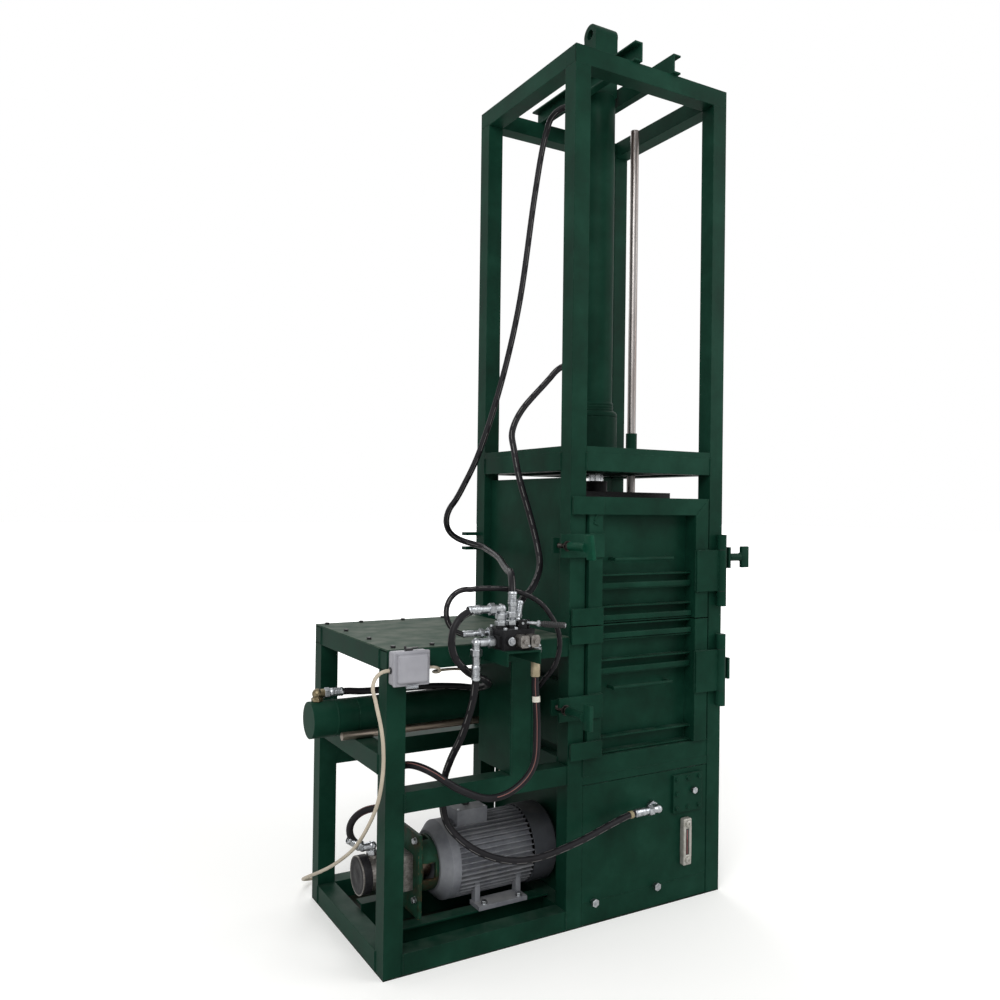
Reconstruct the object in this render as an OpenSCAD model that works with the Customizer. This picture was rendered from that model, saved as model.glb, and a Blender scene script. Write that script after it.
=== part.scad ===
/* [Frame] */
// Side of the square frame tube
tube = 60; // [50:1:70]
// Wall of the square frame tube
tube_wall = 4; // [3:0.5:6]
// Width of the press tower along the front
tower_w = 660; // [640:5:700]
// Depth of the tower and of the table
frame_d = 630; // [610:5:660]
// Height of the tower to the top of its upper ring
tower_h = 2865; // [2820:5:2900]
// Length of the table beside the tower
table_l = 630; // [610:5:660]
// Height of the table's top rails
table_h = 942; // [930:1:960]
// Height of the table's middle rails
mid_rail_h = 530; // [520:1:540]
// Thickness of the floor pan
pan_t = 4; // [3:0.5:6]
// Thickness of the table cover
cover_t = 4; // [3:0.5:6]

/* [Press chamber] */
// Top of the sill beams under the chamber
sill_h = 546; // [540:1:550]
// Thickness of the chamber floor plate
floor_t = 10; // [6:1:14]
// Thickness of the chamber wall sheets
wall_t = 5; // [4:0.5:8]
// Top of the left chamber wall
wall_h = 1460; // [1420:5:1470]
// Top of the back chamber wall
back_wall_h = 1397; // [1380:1:1420]
// Underside of the beams that carry the main cylinder
beam_z = 1482; // [1476:1:1490]
// Thickness of the plate under the main cylinder
mid_plate_t = 20; // [16:1:24]

/* [Main cylinder] */
// Outside diameter of the main cylinder
barrel_od = 112; // [106:1:118]
// Bore of the main cylinder
barrel_bore = 92; // [84:1:96]
// Height of the top of the cylinder tube
barrel_top = 2884; // [2876:1:2900]
// Outside diameter of the gland
gland_od = 150; // [140:1:156]
// Height of the gland above its plate
gland_l = 145; // [130:1:160]
// Diameter of the piston rod
rod_d = 55; // [45:1:60]
// Diameter of the platen's guide rods
guide_d = 32; // [28:1:36]
// Distance of each guide rod from the cylinder axis
guide_off = 165; // [155:1:175]
// Height of the guide rods' top ends
guide_top = 2800; // [2700:5:2802]
// Height of the platen's pressing face when it is up
platen_z = 1345; // [1330:1:1360]
// Height of the platen
platen_h = 75; // [60:1:80]

/* [Ejector] */
// Outside diameter of the ejector cylinder
ej_od = 114; // [108:1:120]
// Bore of the ejector cylinder
ej_bore = 94; // [84:1:98]
// Height of the ejector axis
ej_z = 692; // [685:1:700]
// Left end of the ejector cylinder
ej_left = -770; // [-790:1:-760]
// Diameter of the ejector rod
ej_rod_d = 45; // [38:1:50]
// Diameter of the pusher's guide rods
ej_guide_d = 25; // [20:1:28]
// Distance of each pusher guide rod from the axis
ej_guide_off = 75; // [72:1:85]
// Height of the pusher plate
pusher_h = 296; // [260:2:300]

/* [Doors] */
// Top of the upper door
door_top = 1397; // [1390:1:1400]
// Height of the gap between the two front doors
door_split = 978; // [970:1:986]
// Gap between the two front doors
door_gap = 4; // [3:0.5:6]
// Depth of the door frames
door_d = 58; // [50:1:60]
// Distance that the doors stand in front of the posts
door_proud = 10; // [9:0.5:12]
// Width of the right and top members of a door
door_member = 58; // [50:1:60]
// Diameter of the hinge barrels
knuckle_d = 34; // [30:1:36]
// Diameter of the hinge pins
hinge_pin_d = 16; // [12:1:18]
// Diameter of the clamp screws
clamp_d = 16; // [14:1:18]
// Diameter of the holes that the clamp screws reach into
clamp_hole_d = 22; // [21:1:26]

/* [Power pack] */
// Height of the motor shaft above the motor rails
motor_c = 132; // [130:1:140]
// Diameter of the motor's fan cover
motor_d = 256; // [240:1:258]
// Height of the motor rails
rail_h = 80; // [70:1:84]
// Diameter of the motor shaft
shaft_d = 38; // [32:1:42]

/* [Hoses and leads] */
// Outside diameter of the main hoses
hose_d = 22; // [18:1:24]
// Outside diameter of the ejector's rod end hose
hose_s_d = 16; // [14:1:18]
// Outside diameter of the mains lead
lead_d = 11; // [9:1:12]
// Outside diameter of the motor cable
motor_lead_d = 9; // [8:1:10]

/* [Hidden] */
$fn = 48;

green = "#14432f";
black = "#1b1a1d";
zinc = "#b9bcc0";
steel = "#8d8a86";
grey = "#8b8d92";
beige = "#b5aa98";

slip = 0.05;
eps = 1;
base_l = tower_w + table_l;
x_r = base_l / 2;
x_l = -x_r;
x_t = x_r - tower_w;
y_b = frame_d / 2;
y_f = -y_b;
press_x = x_r - tower_w / 2;
in_x0 = x_t + tube;
in_x1 = x_r - tube;
in_y = y_b - tube;
plate_z = beam_z + tube;
plate_top = plate_z + mid_plate_t;
floor_top = sill_h + floor_t;

// Hollow square tubes along each axis, from their low corner
module tube_x(x0, x1, y, z) translate([x0, y, z]) difference() {
  cube([x1 - x0, tube, tube]);
  translate([-eps, tube_wall, tube_wall])
    cube([x1 - x0 + 2 * eps, tube - 2 * tube_wall, tube - 2 * tube_wall]);
}
module tube_y(y0, y1, x, z) translate([x, y0, z]) difference() {
  cube([tube, y1 - y0, tube]);
  translate([tube_wall, -eps, tube_wall])
    cube([tube - 2 * tube_wall, y1 - y0 + 2 * eps, tube - 2 * tube_wall]);
}
module tube_z(x, y, z0, z1) translate([x, y, z0]) difference() {
  cube([tube, tube, z1 - z0]);
  translate([tube_wall, tube_wall, -eps])
    cube([tube - 2 * tube_wall, tube - 2 * tube_wall, z1 - z0 + 2 * eps]);
}
// A box between two corners
module block(a, b) translate(a) cube(b - a);
// Round bars along each axis
module bar_x(x0, x1, y, z, d) translate([x0, y, z]) rotate([0, 90, 0]) cylinder(d = d, h = x1 - x0);
module bar_y(y0, y1, x, z, d) translate([x, y1, z]) rotate([90, 0, 0]) cylinder(d = d, h = y1 - y0);
module bar_z(z0, z1, x, y, d) translate([x, y, z0]) cylinder(d = d, h = z1 - z0);
// Channel along X, open towards -Y, with its back at y
module channel_x(x0, x1, y, z, h, w, t) difference() {
  block([x0, y - w, z], [x1, y, z + h]);
  block([x0 - eps, y - w - eps, z + t], [x1 + eps, y - t, z + h - t]);
}
// Hex head on a washer face, along an axis that the caller turns to
module hex_head(d, h) cylinder(d = d, h = h, $fn = 6);

// Floor pan and frame
module floor_pan() color(green) block([x_l, y_f, 0], [x_r, y_b, pan_t]);

module base_rails() color(green) {
  for (y = [y_f, in_y]) tube_x(x_l + tube, x_t, y, pan_t);
  tube_x(in_x0, in_x1, in_y, pan_t);
  for (x = [x_l, x_r - tube, x_t]) tube_y(-in_y, in_y, x, pan_t);
}

lug_l = 50;
lug_t = 10;
lug_h = 50;
lug_back = 23;
clamp_x = x_t - 25;
upper_clamp_z = 1238;
lower_clamp_z = 716;
side_clamp_y = y_f + 27;
side_clamp_z = 1187;
side_bolt_z = 788;
hook_z = 1230;
hook_gap = 42;
hook_t = 12;
hook_l = 62;
hook_w = 34;

module tower_posts() color(green) {
  difference() {
    for (x = [x_t, in_x1], y = [y_f, in_y]) tube_z(x, y, pan_t, tower_h - tube);
    for (z = [side_clamp_z, side_bolt_z])
      bar_x(x_r - tube / 2, x_r + eps, side_clamp_y, z, clamp_hole_d);
  }
  for (z = [upper_clamp_z, lower_clamp_z]) difference() {
    block([x_t - lug_l, y_f + lug_back, z - lug_h / 2], [x_t, y_f + lug_back + lug_t, z + lug_h / 2]);
    bar_y(y_f, y_f + 2 * lug_back + lug_t, clamp_x, z, clamp_hole_d);
  }
  for (s = [-1, 1]) let (z = hook_z + s * (hook_gap + hook_t) / 2)
    block([x_t - hook_l, y_b - hook_w, z - hook_t / 2], [x_t, y_b, z + hook_t / 2]);
}

bearer_off = gland_od / 2 + 30;
module tower_beams() color(green) {
  for (z = [beam_z, sill_h - tube]) {
    for (y = [y_f, in_y]) tube_x(in_x0, in_x1, y, z);
    for (x = [x_t, in_x1]) tube_y(-in_y, in_y, x, z);
  }
  for (y = [y_f, in_y]) tube_x(x_t, x_r, y, tower_h - tube);
  for (x = [x_t, in_x1]) tube_y(-in_y, in_y, x, tower_h - tube);
  for (s = [-1, 1]) tube_y(-in_y, in_y, press_x + s * bearer_off - tube / 2, beam_z);
}

cradle_h = 65;
cradle_w = 32;
cradle_clear = 12;
cradle_x = barrel_od / 2 + cradle_clear;
cradle_t = 6;
cradle_over = 14;
// Two channels across the top stand beside the head of the cylinder, back to back
module top_channels() color(green) for (s = [-1, 1]) translate([press_x, 0, tower_h]) scale([s, 1, 1])
  difference() {
    block([cradle_x, y_f - cradle_over, 0], [cradle_x + cradle_w, y_b, cradle_h]);
    block([cradle_x + cradle_t, y_f - cradle_over - eps, cradle_t],
          [cradle_x + cradle_w + eps, y_b + eps, cradle_h - cradle_t]);
  }

guide_hole = guide_d + 8;
// One rod, right of the cylinder, keeps the platen from turning
guide_sides = [1];
module mid_plate() color(green) difference() {
  block([x_t, y_f, plate_z], [x_r, y_b, plate_top]);
  for (x = [x_t, in_x1], y = [y_f, in_y])
    block([x - eps, y - eps, plate_z - eps], [x + tube + eps, y + tube + eps, plate_top + eps]);
  bar_z(plate_z - eps, plate_top + eps, press_x, 0, rod_d + 2);
  for (s = guide_sides) bar_z(plate_z - eps, plate_top + eps, press_x + s * guide_off, 0, guide_hole);
}

// Press chamber
chamber_x0 = x_t + tube - 25;
floor_lip = 10;
door_front = y_f - door_proud;
door_back = door_front + door_d;
module chamber_floor() color(green) {
  block([chamber_x0, -in_y, sill_h], [x_r - floor_lip, in_y, floor_top]);
  block([in_x0, -in_y - floor_lip, sill_h], [in_x1, -in_y + eps, floor_top]);
}

wall_rib_h = 50;
wall_rib_w = 30;
wall_rib_t = 5;
ej_hole = ej_rod_d + 6;
ej_guide_hole = ej_guide_d + 4;
ej_guide_z = ej_z - 42;
module left_wall() difference() {
  block([chamber_x0 - wall_t, -in_y, floor_top - floor_t], [chamber_x0, in_y, wall_h]);
  bar_x(x_t, chamber_x0 + eps, 0, ej_z, ej_hole);
  for (s = [-1, 1]) bar_x(x_t, chamber_x0 + eps, s * ej_guide_off, ej_guide_z, ej_guide_hole);
}

module back_wall() {
  block([in_x0, in_y, sill_h], [in_x1, in_y + wall_t, back_wall_h]);
  for (z = [620, 860, 1100, 1320]) mirror([0, 1, 0])
    channel_x(in_x0, in_x1, -in_y - wall_t, z, wall_rib_h, wall_rib_w, wall_rib_t);
}

module chamber_walls() color(green) {
  left_wall();
  back_wall();
}

// Table
module table_posts() color(green)
  for (y = [y_f, in_y]) tube_z(x_l, y, pan_t, table_h - tube);

module table_rails() color(green) {
  for (y = [y_f, in_y]) {
    tube_x(x_l, x_t, y, table_h - tube);
    tube_x(x_l + tube, x_t, y, mid_rail_h - tube);
  }
  tube_y(-in_y, in_y, x_l, table_h - tube);
  tube_y(-in_y, in_y, x_l, ej_z - ej_od / 2 - tube);
}

module table_cover() color(green) block([x_l, y_f, table_h], [x_t, y_b, table_h + cover_t]);

cover_bolt_in = 30;
cover_bolt_y = 100;
cover_bolt_x0 = 155;
cover_bolt_pitch = 160;
cover_bolt_d = 14;
cover_bolt_h = 6;
service_w = 130;
service_t = 10;
service_x = 490;
service_z = 373;
service_bolt_off = 50;
cover_front = y_f + 2;
// Hex bolts of the table cover and of the tank's service plate
module panel_bolts() color(black) {
  for (y = [y_f + cover_bolt_in, -cover_bolt_y, cover_bolt_y, y_b - cover_bolt_in])
    translate([x_l + cover_bolt_in, y, table_h + cover_t])
    hex_head(cover_bolt_d, cover_bolt_h);
  for (i = [0:2], y = [y_f + cover_bolt_in, y_b - cover_bolt_in])
    translate([x_l + cover_bolt_x0 + i * cover_bolt_pitch, y, table_h + cover_t])
    hex_head(cover_bolt_d, cover_bolt_h);
  for (i = [-1:1], j = [-1:1]) if (i != 0 || j != 0)
    translate([service_x + i * service_bolt_off, cover_front - service_t, service_z + j * service_bolt_off])
      rotate([90, 0, 0]) hex_head(cover_bolt_d, cover_bolt_h);
}

// Oil tank in the tower's base
tank_gap = 30;
tank_top = sill_h - tube - tank_gap;
tank_wall = 4;
tank_in = 2;
tank_front = 7;
module oil_tank() color(green) difference() {
  block([in_x0 + tank_in, y_f + tank_front, pan_t], [in_x1 - tank_in, in_y - tank_in, tank_top]);
  block([in_x0 + tank_in + tank_wall, y_f + tank_front + tank_wall, pan_t + tank_wall],
        [in_x1 - tank_in - tank_wall, in_y - tank_in - tank_wall, tank_top - tank_wall]);
}
module tank_cover() color(green)
  block([in_x0 + tank_in, cover_front, pan_t], [in_x1 - tank_in, y_f + tank_front, tank_top]);

module service_plate() color(green)
  block([service_x - service_w / 2, cover_front - service_t, service_z - service_w / 2],
        [service_x + service_w / 2, cover_front, service_z + service_w / 2]);

gauge_x = 482;
gauge_z0 = 125;
gauge_z1 = 286;
gauge_w = 36;
gauge_d = 22;
module level_gauge() color(zinc) difference() {
  union() {
    block([gauge_x - gauge_w / 2, cover_front - gauge_d, gauge_z0],
          [gauge_x + gauge_w / 2, cover_front, gauge_z1]);
    for (z = [gauge_z0 + 18, gauge_z1 - 18]) bar_y(cover_front - gauge_d - 6, cover_front, gauge_x, z, 22);
  }
  block([gauge_x - 8, cover_front - gauge_d - eps, gauge_z0 + 36],
        [gauge_x + 8, cover_front - gauge_d + 8, gauge_z1 - 36]);
}

port_x = 330;
port_z = 350;
port_out = 40;
return_end = 270;
plug_z = 74;
// Drain plugs, service stud and the return elbow
module tank_fittings() color(zinc) {
  for (x = [92, 353]) {
    bar_y(cover_front - 8, cover_front, x, plug_z, 36);
    translate([x, cover_front - 8, plug_z]) rotate([90, 0, 0]) hex_head(30, 14);
  }
  bar_y(cover_front - service_t - 22, cover_front - service_t, service_x, service_z, 16);
  bar_y(cover_front - port_out - 12, cover_front, port_x, port_z, 24);
  bar_x(return_end, port_x, cover_front - port_out, port_z, 24);
  translate([port_x - 16, cover_front - port_out, port_z]) rotate([0, -90, 0]) hex_head(34, 16);
}

// Main cylinder
eye_d = 76;
eye_t = 100;
eye_step = 1.5;
eye_hole = 36;
eye_rise = 226;
eye_z = barrel_top + eye_rise;
cap_l = 40;
module cylinder_barrel() color(green) {
  difference() {
    bar_z(plate_top + gland_l, barrel_top, press_x, 0, barrel_od);
    bar_z(plate_top + gland_l - eps, barrel_top - cap_l, press_x, 0, barrel_bore);
    for (z = [16, 26]) translate([press_x, 0, plate_top + gland_l + z]) difference() {
      cylinder(d = barrel_od + 4, h = 5);
      translate([0, 0, -eps]) cylinder(d = barrel_od - 4, h = 5 + 2 * eps);
    }
  }
  difference() {
    union() {
      block([press_x - eye_t / 2, eye_step - eye_d / 2, barrel_top],
            [press_x + eye_t / 2, eye_d / 2 - eye_step, eye_z]);
      bar_x(press_x - eye_t / 2, press_x + eye_t / 2, 0, eye_z, eye_d);
    }
    bar_x(press_x - eye_t / 2 - eps, press_x + eye_t / 2 + eps, 0, eye_z, eye_hole);
  }
}

gland_bolt_r = gland_od / 2 + 14;
module cylinder_gland() color(green) {
  difference() {
    union() {
      bar_z(plate_top, plate_top + gland_l, press_x, 0, gland_od);
      for (a = [30:60:330]) translate([press_x, 0, plate_top]) rotate(a) translate([gland_bolt_r, 0, 0])
        hex_head(24, 12);
      bar_z(plate_top, plate_top + 6, press_x, 0, gland_od + 56);
    }
    bar_z(plate_top - eps, plate_top + gland_l + eps, press_x, 0, rod_d + 2 * slip);
    translate([press_x, 0, plate_top + gland_l - 14]) difference() {
      cylinder(d = gland_od + 4, h = 4);
      translate([0, 0, -eps]) cylinder(d = gland_od - 4, h = 4 + 2 * eps);
    }
  }
}

bush_d = 42;
bush_h = 83;
module guide_bushes() color(green) for (s = guide_sides) difference() {
  union() {
    bar_z(plate_z, plate_top + bush_h, press_x + s * guide_off, 0, guide_hole);
    bar_z(plate_top, plate_top + bush_h, press_x + s * guide_off, 0, bush_d);
  }
  bar_z(plate_z - eps, plate_top + bush_h + eps, press_x + s * guide_off, 0, guide_d + 2 * slip);
}

piston_l = 60;
platen_top = platen_z + platen_h;
socket_h = 40;
socket_d = 84;
module ram_rod() color("#d4d6d8") {
  bar_z(platen_top + socket_h / 2, barrel_top - cap_l - 5, press_x, 0, rod_d);
  bar_z(barrel_top - cap_l - 5 - piston_l, barrel_top - cap_l - 5, press_x, 0, barrel_bore - 2 * slip);
}

platen_half = 275;
platen_y = in_y - 15;
platen_skin = 20;
platen_rib = 15;
// Pressing plate with ribs above and the socket that takes the rod
module platen() color(black) difference() {
  union() {
    block([press_x - platen_half, -platen_y, platen_z],
          [press_x + platen_half, platen_y, platen_z + platen_skin]);
    for (y = [-90, 90]) block([press_x - platen_half, y - platen_rib / 2, platen_z],
                              [press_x + platen_half, y + platen_rib / 2, platen_top]);
    for (s = guide_sides) block([press_x + s * guide_off - 30, -90, platen_z],
                            [press_x + s * guide_off + 30, 90, platen_top]);
    block([press_x - 60, -90, platen_z], [press_x + 60, 90, platen_top]);
    bar_z(platen_z, platen_top + socket_h, press_x, 0, socket_d);
  }
  bar_z(platen_top + socket_h / 2, platen_top + socket_h + eps, press_x, 0, rod_d);
  for (s = guide_sides) bar_z(platen_z + platen_skin, platen_top + eps, press_x + s * guide_off, 0, guide_d);
}
module guide_rods() color(steel) for (s = guide_sides)
  bar_z(platen_z + platen_skin, guide_top, press_x + s * guide_off, 0, guide_d);

// Ejector
ej_right = chamber_x0 - wall_t - 25;
ej_cap = 30;
ej_gland = 40;
module ejector_barrel() color(green) difference() {
  bar_x(ej_left, ej_right, 0, ej_z, ej_od);
  bar_x(ej_left + ej_cap, ej_right - ej_gland, 0, ej_z, ej_bore);
  bar_x(ej_left + ej_cap, ej_right + eps, 0, ej_z, ej_rod_d + 2 * slip);
  translate([ej_left + 145, 0, ej_z]) rotate([0, 90, 0]) difference() {
    cylinder(d = ej_od + 4, h = 4);
    translate([0, 0, -eps]) cylinder(d = ej_od - 3, h = 4 + 2 * eps);
  }
}
module ejector_head() color(green) difference() {
  union() {
    block([ej_right, -in_y, ej_z - 110], [chamber_x0 - wall_t, in_y, ej_z + 100]);
    for (s = [-1, 1]) bar_x(ej_right - 40, ej_right, s * ej_guide_off, ej_guide_z, ej_guide_d + 14);
  }
  bar_x(ej_right - eps, chamber_x0, 0, ej_z, ej_hole);
  for (s = [-1, 1]) bar_x(ej_right - 60, chamber_x0, s * ej_guide_off, ej_guide_z, ej_guide_d + 2 * slip);
  bar_x(ej_right - 60, ej_right, 0, ej_z, ej_od);
}

pusher_x = chamber_x0 + 6;
pusher_t = 20;
pusher_half = 225;
ej_piston_l = 45;
ej_tail = -690;
module ejector_rod() color("#d4d6d8") {
  bar_x(ej_left + ej_cap + 5, pusher_x, 0, ej_z, ej_rod_d);
  bar_x(ej_left + ej_cap + 5, ej_left + ej_cap + 5 + ej_piston_l, 0, ej_z, ej_bore - 2 * slip);
}
module pusher_plate() color(green)
  block([pusher_x, -pusher_half, floor_top + 2],
        [pusher_x + pusher_t, pusher_half, floor_top + 2 + pusher_h]);
module pusher_guides() color(steel) for (s = [-1, 1])
  bar_x(ej_tail, pusher_x, s * ej_guide_off, ej_guide_z, ej_guide_d);

// Valve on its tray in front of the table
col_x0 = -229;
col_x1 = -152;
col_y1 = -110;
col_t = 4;
module valve_column() difference() {
  block([col_x0, y_f, mid_rail_h], [col_x1, col_y1, table_h - tube]);
  block([col_x0 + col_t, y_f + col_t, mid_rail_h - eps],
        [col_x1 - col_t, col_y1 + eps, table_h - tube + eps]);
}
tray_x0 = -338;
tray_x1 = -222;
tray_y0 = -470;
tray_z = 940;
tray_lip = 42;
tray_t = 5;
module valve_tray() difference() {
  block([tray_x0, tray_y0, tray_z - tray_lip], [tray_x1, y_f, tray_z]);
  block([tray_x0 + tray_t, tray_y0 - eps, tray_z - tray_lip - eps],
        [tray_x1 - tray_t, y_f - tray_t, tray_z - tray_t]);
}

module valve_stand() color(green) {
  valve_column();
  valve_tray();
}

valve_x0 = -342;
valve_x1 = -222;
valve_y0 = -445;
valve_y1 = -350;
valve_top = 1000;
valve_wing = 30;
lever_p = [-252, -425, 1016];
lever_a = atan2(-0.8, 0.6);
module valve_body() color(black) difference() {
  union() {
    block([valve_x0 + 8, valve_y0, tray_z], [valve_x1 - 8, valve_y1, valve_top]);
    block([valve_x0, valve_y0 + 18, tray_z + 8], [valve_x1, valve_y1 - 12, valve_top - 20]);
    for (x = [-317, -279]) bar_z(valve_top, valve_top + 8, x, -397, 34);
    for (s = [-1, 1]) translate(lever_p) rotate(lever_a)
      block([-14, s * 11 - 4, -18], [10, s * 11 + 4, 9]);
    bar_y(valve_y0 - 12, valve_y0, -315, 968, 26);
  }
  translate(lever_p) rotate(lever_a) rotate([90, 0, 0])
    cylinder(d = 8 + 2 * slip, h = 60, center = true);
}
module spool_caps() color(grey) for (x = [-283, -247]) {
  translate([x, valve_y0, 968]) rotate([90, 0, 0]) linear_extrude(height = 34)
    polygon([[-15, -12], [-10, -18], [10, -18], [15, -12], [15, 12], [10, 18], [-10, 18], [-15, 12]]);
  bar_y(valve_y0 - 40, valve_y0 - 34, x, 968, 14);
}
module valve_lever() color(zinc) translate(lever_p) rotate(lever_a) {
  rotate([90, 0, 0]) cylinder(d = 8, h = 30, center = true);
  rotate([0, 90, 0]) cylinder(d = 12, h = 52);
  translate([-7, -6.5, -6]) cube([14, 13, 12]);
  translate([52, 0, 0]) rotate([0, 90, 0]) cylinder(d = 19, h = 76);
}

// Elbows, adaptors and crimped ends at every hose port
h1_top = [226, 0, 2830];
h1_end = [-279, -397, 1066];
h2_top = [232, 0, 1800];
h2_end = [-250, -372, 1020];
h3_top = [-388, -397, 1058];
h3_end = [-700, 0, 772];
h4_top = [-392, -368, 985];
h4_end = [-80, -118, ej_z];
h5_top = [-402, -400, 893];
h5_end = [return_end, cover_front - port_out, port_z];
h6_top = [-206, -415, 850];
h6_end = [-618, -80, 300];
crimp = 27;
crimp_l = 46;
module fit_z(x, y, z0, z1, d) {
  bar_z(z0, z1, x, y, d);
  translate([x, y, z0 + (z1 - z0) * 0.3]) hex_head(34, 16);
}
module hose_fittings() color(zinc) {
  bar_x(h1_top[0], press_x - barrel_od / 2 + 6, 0, h1_top[2], 26);
  translate([h1_top[0] + 14, 0, h1_top[2]]) rotate([0, 90, 0]) hex_head(34, 14);
  bar_x(h2_top[0], press_x - barrel_od / 2 + 6, 0, h2_top[2] - 36, 24);
  bar_z(h2_top[2] - 54, h2_top[2], h2_top[0], 0, 28);
  fit_z(h1_end[0], h1_end[1], valve_top + 8, h1_end[2], 24);
  fit_z(-317, -397, valve_top + 8, h3_top[2] + 17, 28);
  bar_x(h3_top[0], -317, h3_top[1], h3_top[2], 24);
  translate([-350, h3_top[1], h3_top[2]]) rotate([0, 90, 0]) hex_head(34, 14);
  bar_z(valve_top - 6, h2_end[2], h2_end[0], h2_end[1], 24);
  bar_x(h4_top[0], valve_x0 + 8, h4_top[1], h4_top[2], 20);
  translate([h4_top[0] + 14, h4_top[1], h4_top[2]]) rotate([0, 90, 0]) hex_head(28, 12);
  bar_x(h5_top[0], valve_x0, h5_top[1], 962, 24);
  bar_z(h5_top[2], 979, h5_top[0], h5_top[1], 28);
  translate([h5_top[0], h5_top[1], 925]) hex_head(34, 14);
  bar_x(valve_x1 - 4, h6_top[0], h6_top[1], 962, 24);
  bar_z(h6_top[2], 979, h6_top[0], h6_top[1], 28);
  bar_z(ej_z + ej_od / 2 - 6, h3_end[2] + 17, ej_left + 26, 0, 28);
  bar_x(ej_left + 26, h3_end[0], 0, h3_end[2], 24);
  translate([ej_left + 46, 0, h3_end[2]]) rotate([0, 90, 0]) hex_head(32, 14);
  bar_y(h4_end[1], -ej_od / 2 + 6, h4_end[0], h4_end[2], 20);
  bar_z(motor_z + 54, h6_end[2] + 17, -588, h6_end[1], 28);
  bar_x(h6_end[0], -588, h6_end[1], h6_end[2], 24);
}

// Motor, pump and their rails
motor_y = -80;
motor_x0 = -394;
motor_x1 = 36;
rail_z = pan_t + rail_h;
motor_z = rail_z + motor_c;
core_d = motor_d - 36;
fin_t = 3.2;
fin_n = 44;
shield_l = 60;
fan_l = 100;
foot_half = 108;
foot_l = 178;
foot_x0 = -280;
fan_x = motor_x1 - fan_l;
tbox = [110, 100, 62];
tbox_x = -315;
module motor_body() color(grey) difference() {
  union() {
    translate([motor_x0 + shield_l, motor_y, motor_z]) rotate([0, 90, 0])
      linear_extrude(height = fan_x - motor_x0 - shield_l) {
        circle(d = core_d);
        for (i = [0:fin_n - 1]) rotate(i * 360 / fin_n) translate([core_d / 2 - 4, -fin_t / 2])
          square([(motor_d - core_d) / 2, fin_t]);
      }
    translate([motor_x0, motor_y, motor_z]) rotate([0, 90, 0]) {
      cylinder(d1 = 190, d2 = motor_d - 8, h = 30);
      translate([0, 0, 30]) cylinder(d = motor_d - 8, h = shield_l - 30);
    }
    for (s = [-1, 1]) {
      block([foot_x0, motor_y + s * foot_half - 32, rail_z],
            [foot_x0 + foot_l, motor_y + s * foot_half + 32, rail_z + 14]);
      for (x = [foot_x0 + 4, foot_x0 + foot_l - 22])
        block([x, motor_y + s * 92 - 12, rail_z], [x + 18, motor_y + s * 92 + 12, motor_z - 40]);
    }
    translate([tbox_x, motor_y - tbox[1] / 2, motor_z + core_d / 2 - 10]) cube(tbox);
  }
  bar_x(motor_x0 - eps, fan_x + eps, motor_y, motor_z, shaft_d + 2 * slip);
}
coupling_d = 84;
module motor_shaft() color(steel) {
  bar_x(-498, fan_x + 52, motor_y, motor_z, shaft_d);
  bar_x(-448, -404, motor_y, motor_z, coupling_d);
  for (a = [0:60:300]) translate([fan_x + 22, motor_y, motor_z]) rotate([a, 0, 0])
    block([0, 15, -2], [26, 92, 2]);
  bar_x(fan_x + 22, fan_x + 48, motor_y, motor_z, 60);
}
module fan_cover() color("#4b4d50") translate([fan_x, motor_y, motor_z]) rotate([0, 90, 0]) difference() {
  union() {
    cylinder(d = motor_d, h = fan_l - 18);
    translate([0, 0, fan_l - 18]) cylinder(d1 = motor_d, d2 = motor_d - 36, h = 18);
  }
  translate([0, 0, -eps]) cylinder(d = motor_d - 8, h = fan_l - 22);
  for (i = [-4:4]) translate([-80, i * 17 - 4, fan_l - 30]) cube([160, 8, 60]);
}
bell_x0 = -462;
bell_od = 170;
pump_plate_t = 12;
module bell_housing() color(green) difference() {
  union() {
    bar_x(bell_x0, motor_x0, motor_y, motor_z, bell_od);
    block([bell_x0 - pump_plate_t, motor_y - 100, rail_z], [bell_x0, motor_y + 100, motor_z + 125]);
  }
  bar_x(bell_x0, motor_x0 + eps, motor_y, motor_z, bell_od - 24);
  bar_x(bell_x0 - 20, bell_x0 + eps, motor_y, motor_z, 60);
  for (a = [0:90:270]) translate([bell_x0 + 12, motor_y, motor_z]) rotate([a, 0, 0])
    block([0, -26, 40], [44, 26, 110]);
}
pump_x0 = -636;
module pump() color(black) difference() {
  union() {
    bar_x(pump_x0, -606, motor_y, motor_z, 118);
    bar_x(-606, -520, motor_y, motor_z, 104);
    block([-520, motor_y - 60, motor_z - 55], [bell_x0 - pump_plate_t, motor_y + 60, motor_z + 55]);
    bar_z(motor_z, motor_z + 58, -588, motor_y, 36);
  }
  bar_x(-500, -470, motor_y, motor_z, shaft_d + 2);
}
rail_w = 45;
rail_t = 6;
module motor_rails() color(green) {
  channel_x(x_l + tube, x_t, motor_y - foot_half + rail_w / 2, pan_t, rail_h, rail_w, rail_t);
  translate([0, 2 * motor_y, 0]) mirror([0, 1, 0])
    channel_x(x_l + tube, x_t, motor_y - foot_half + rail_w / 2, pan_t, rail_h, rail_w, rail_t);
}

// Front doors
door_x0 = in_x0 + 8;
door_x1 = in_x1 - 14;
left_stile = 55;
strap_t = 10;
strap_x0 = x_t - 48;
strap_h = 76;
slot_w = clamp_d + 0.2;
hinge_x = x_r - 17;
hinge_y = y_f - knuckle_d / 2 - 1;
leaf_x0 = 511;
leaf_h = 146;
knuckle_l = 54;
overlap_t = 8;
hinge_gap = 0.5;

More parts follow.
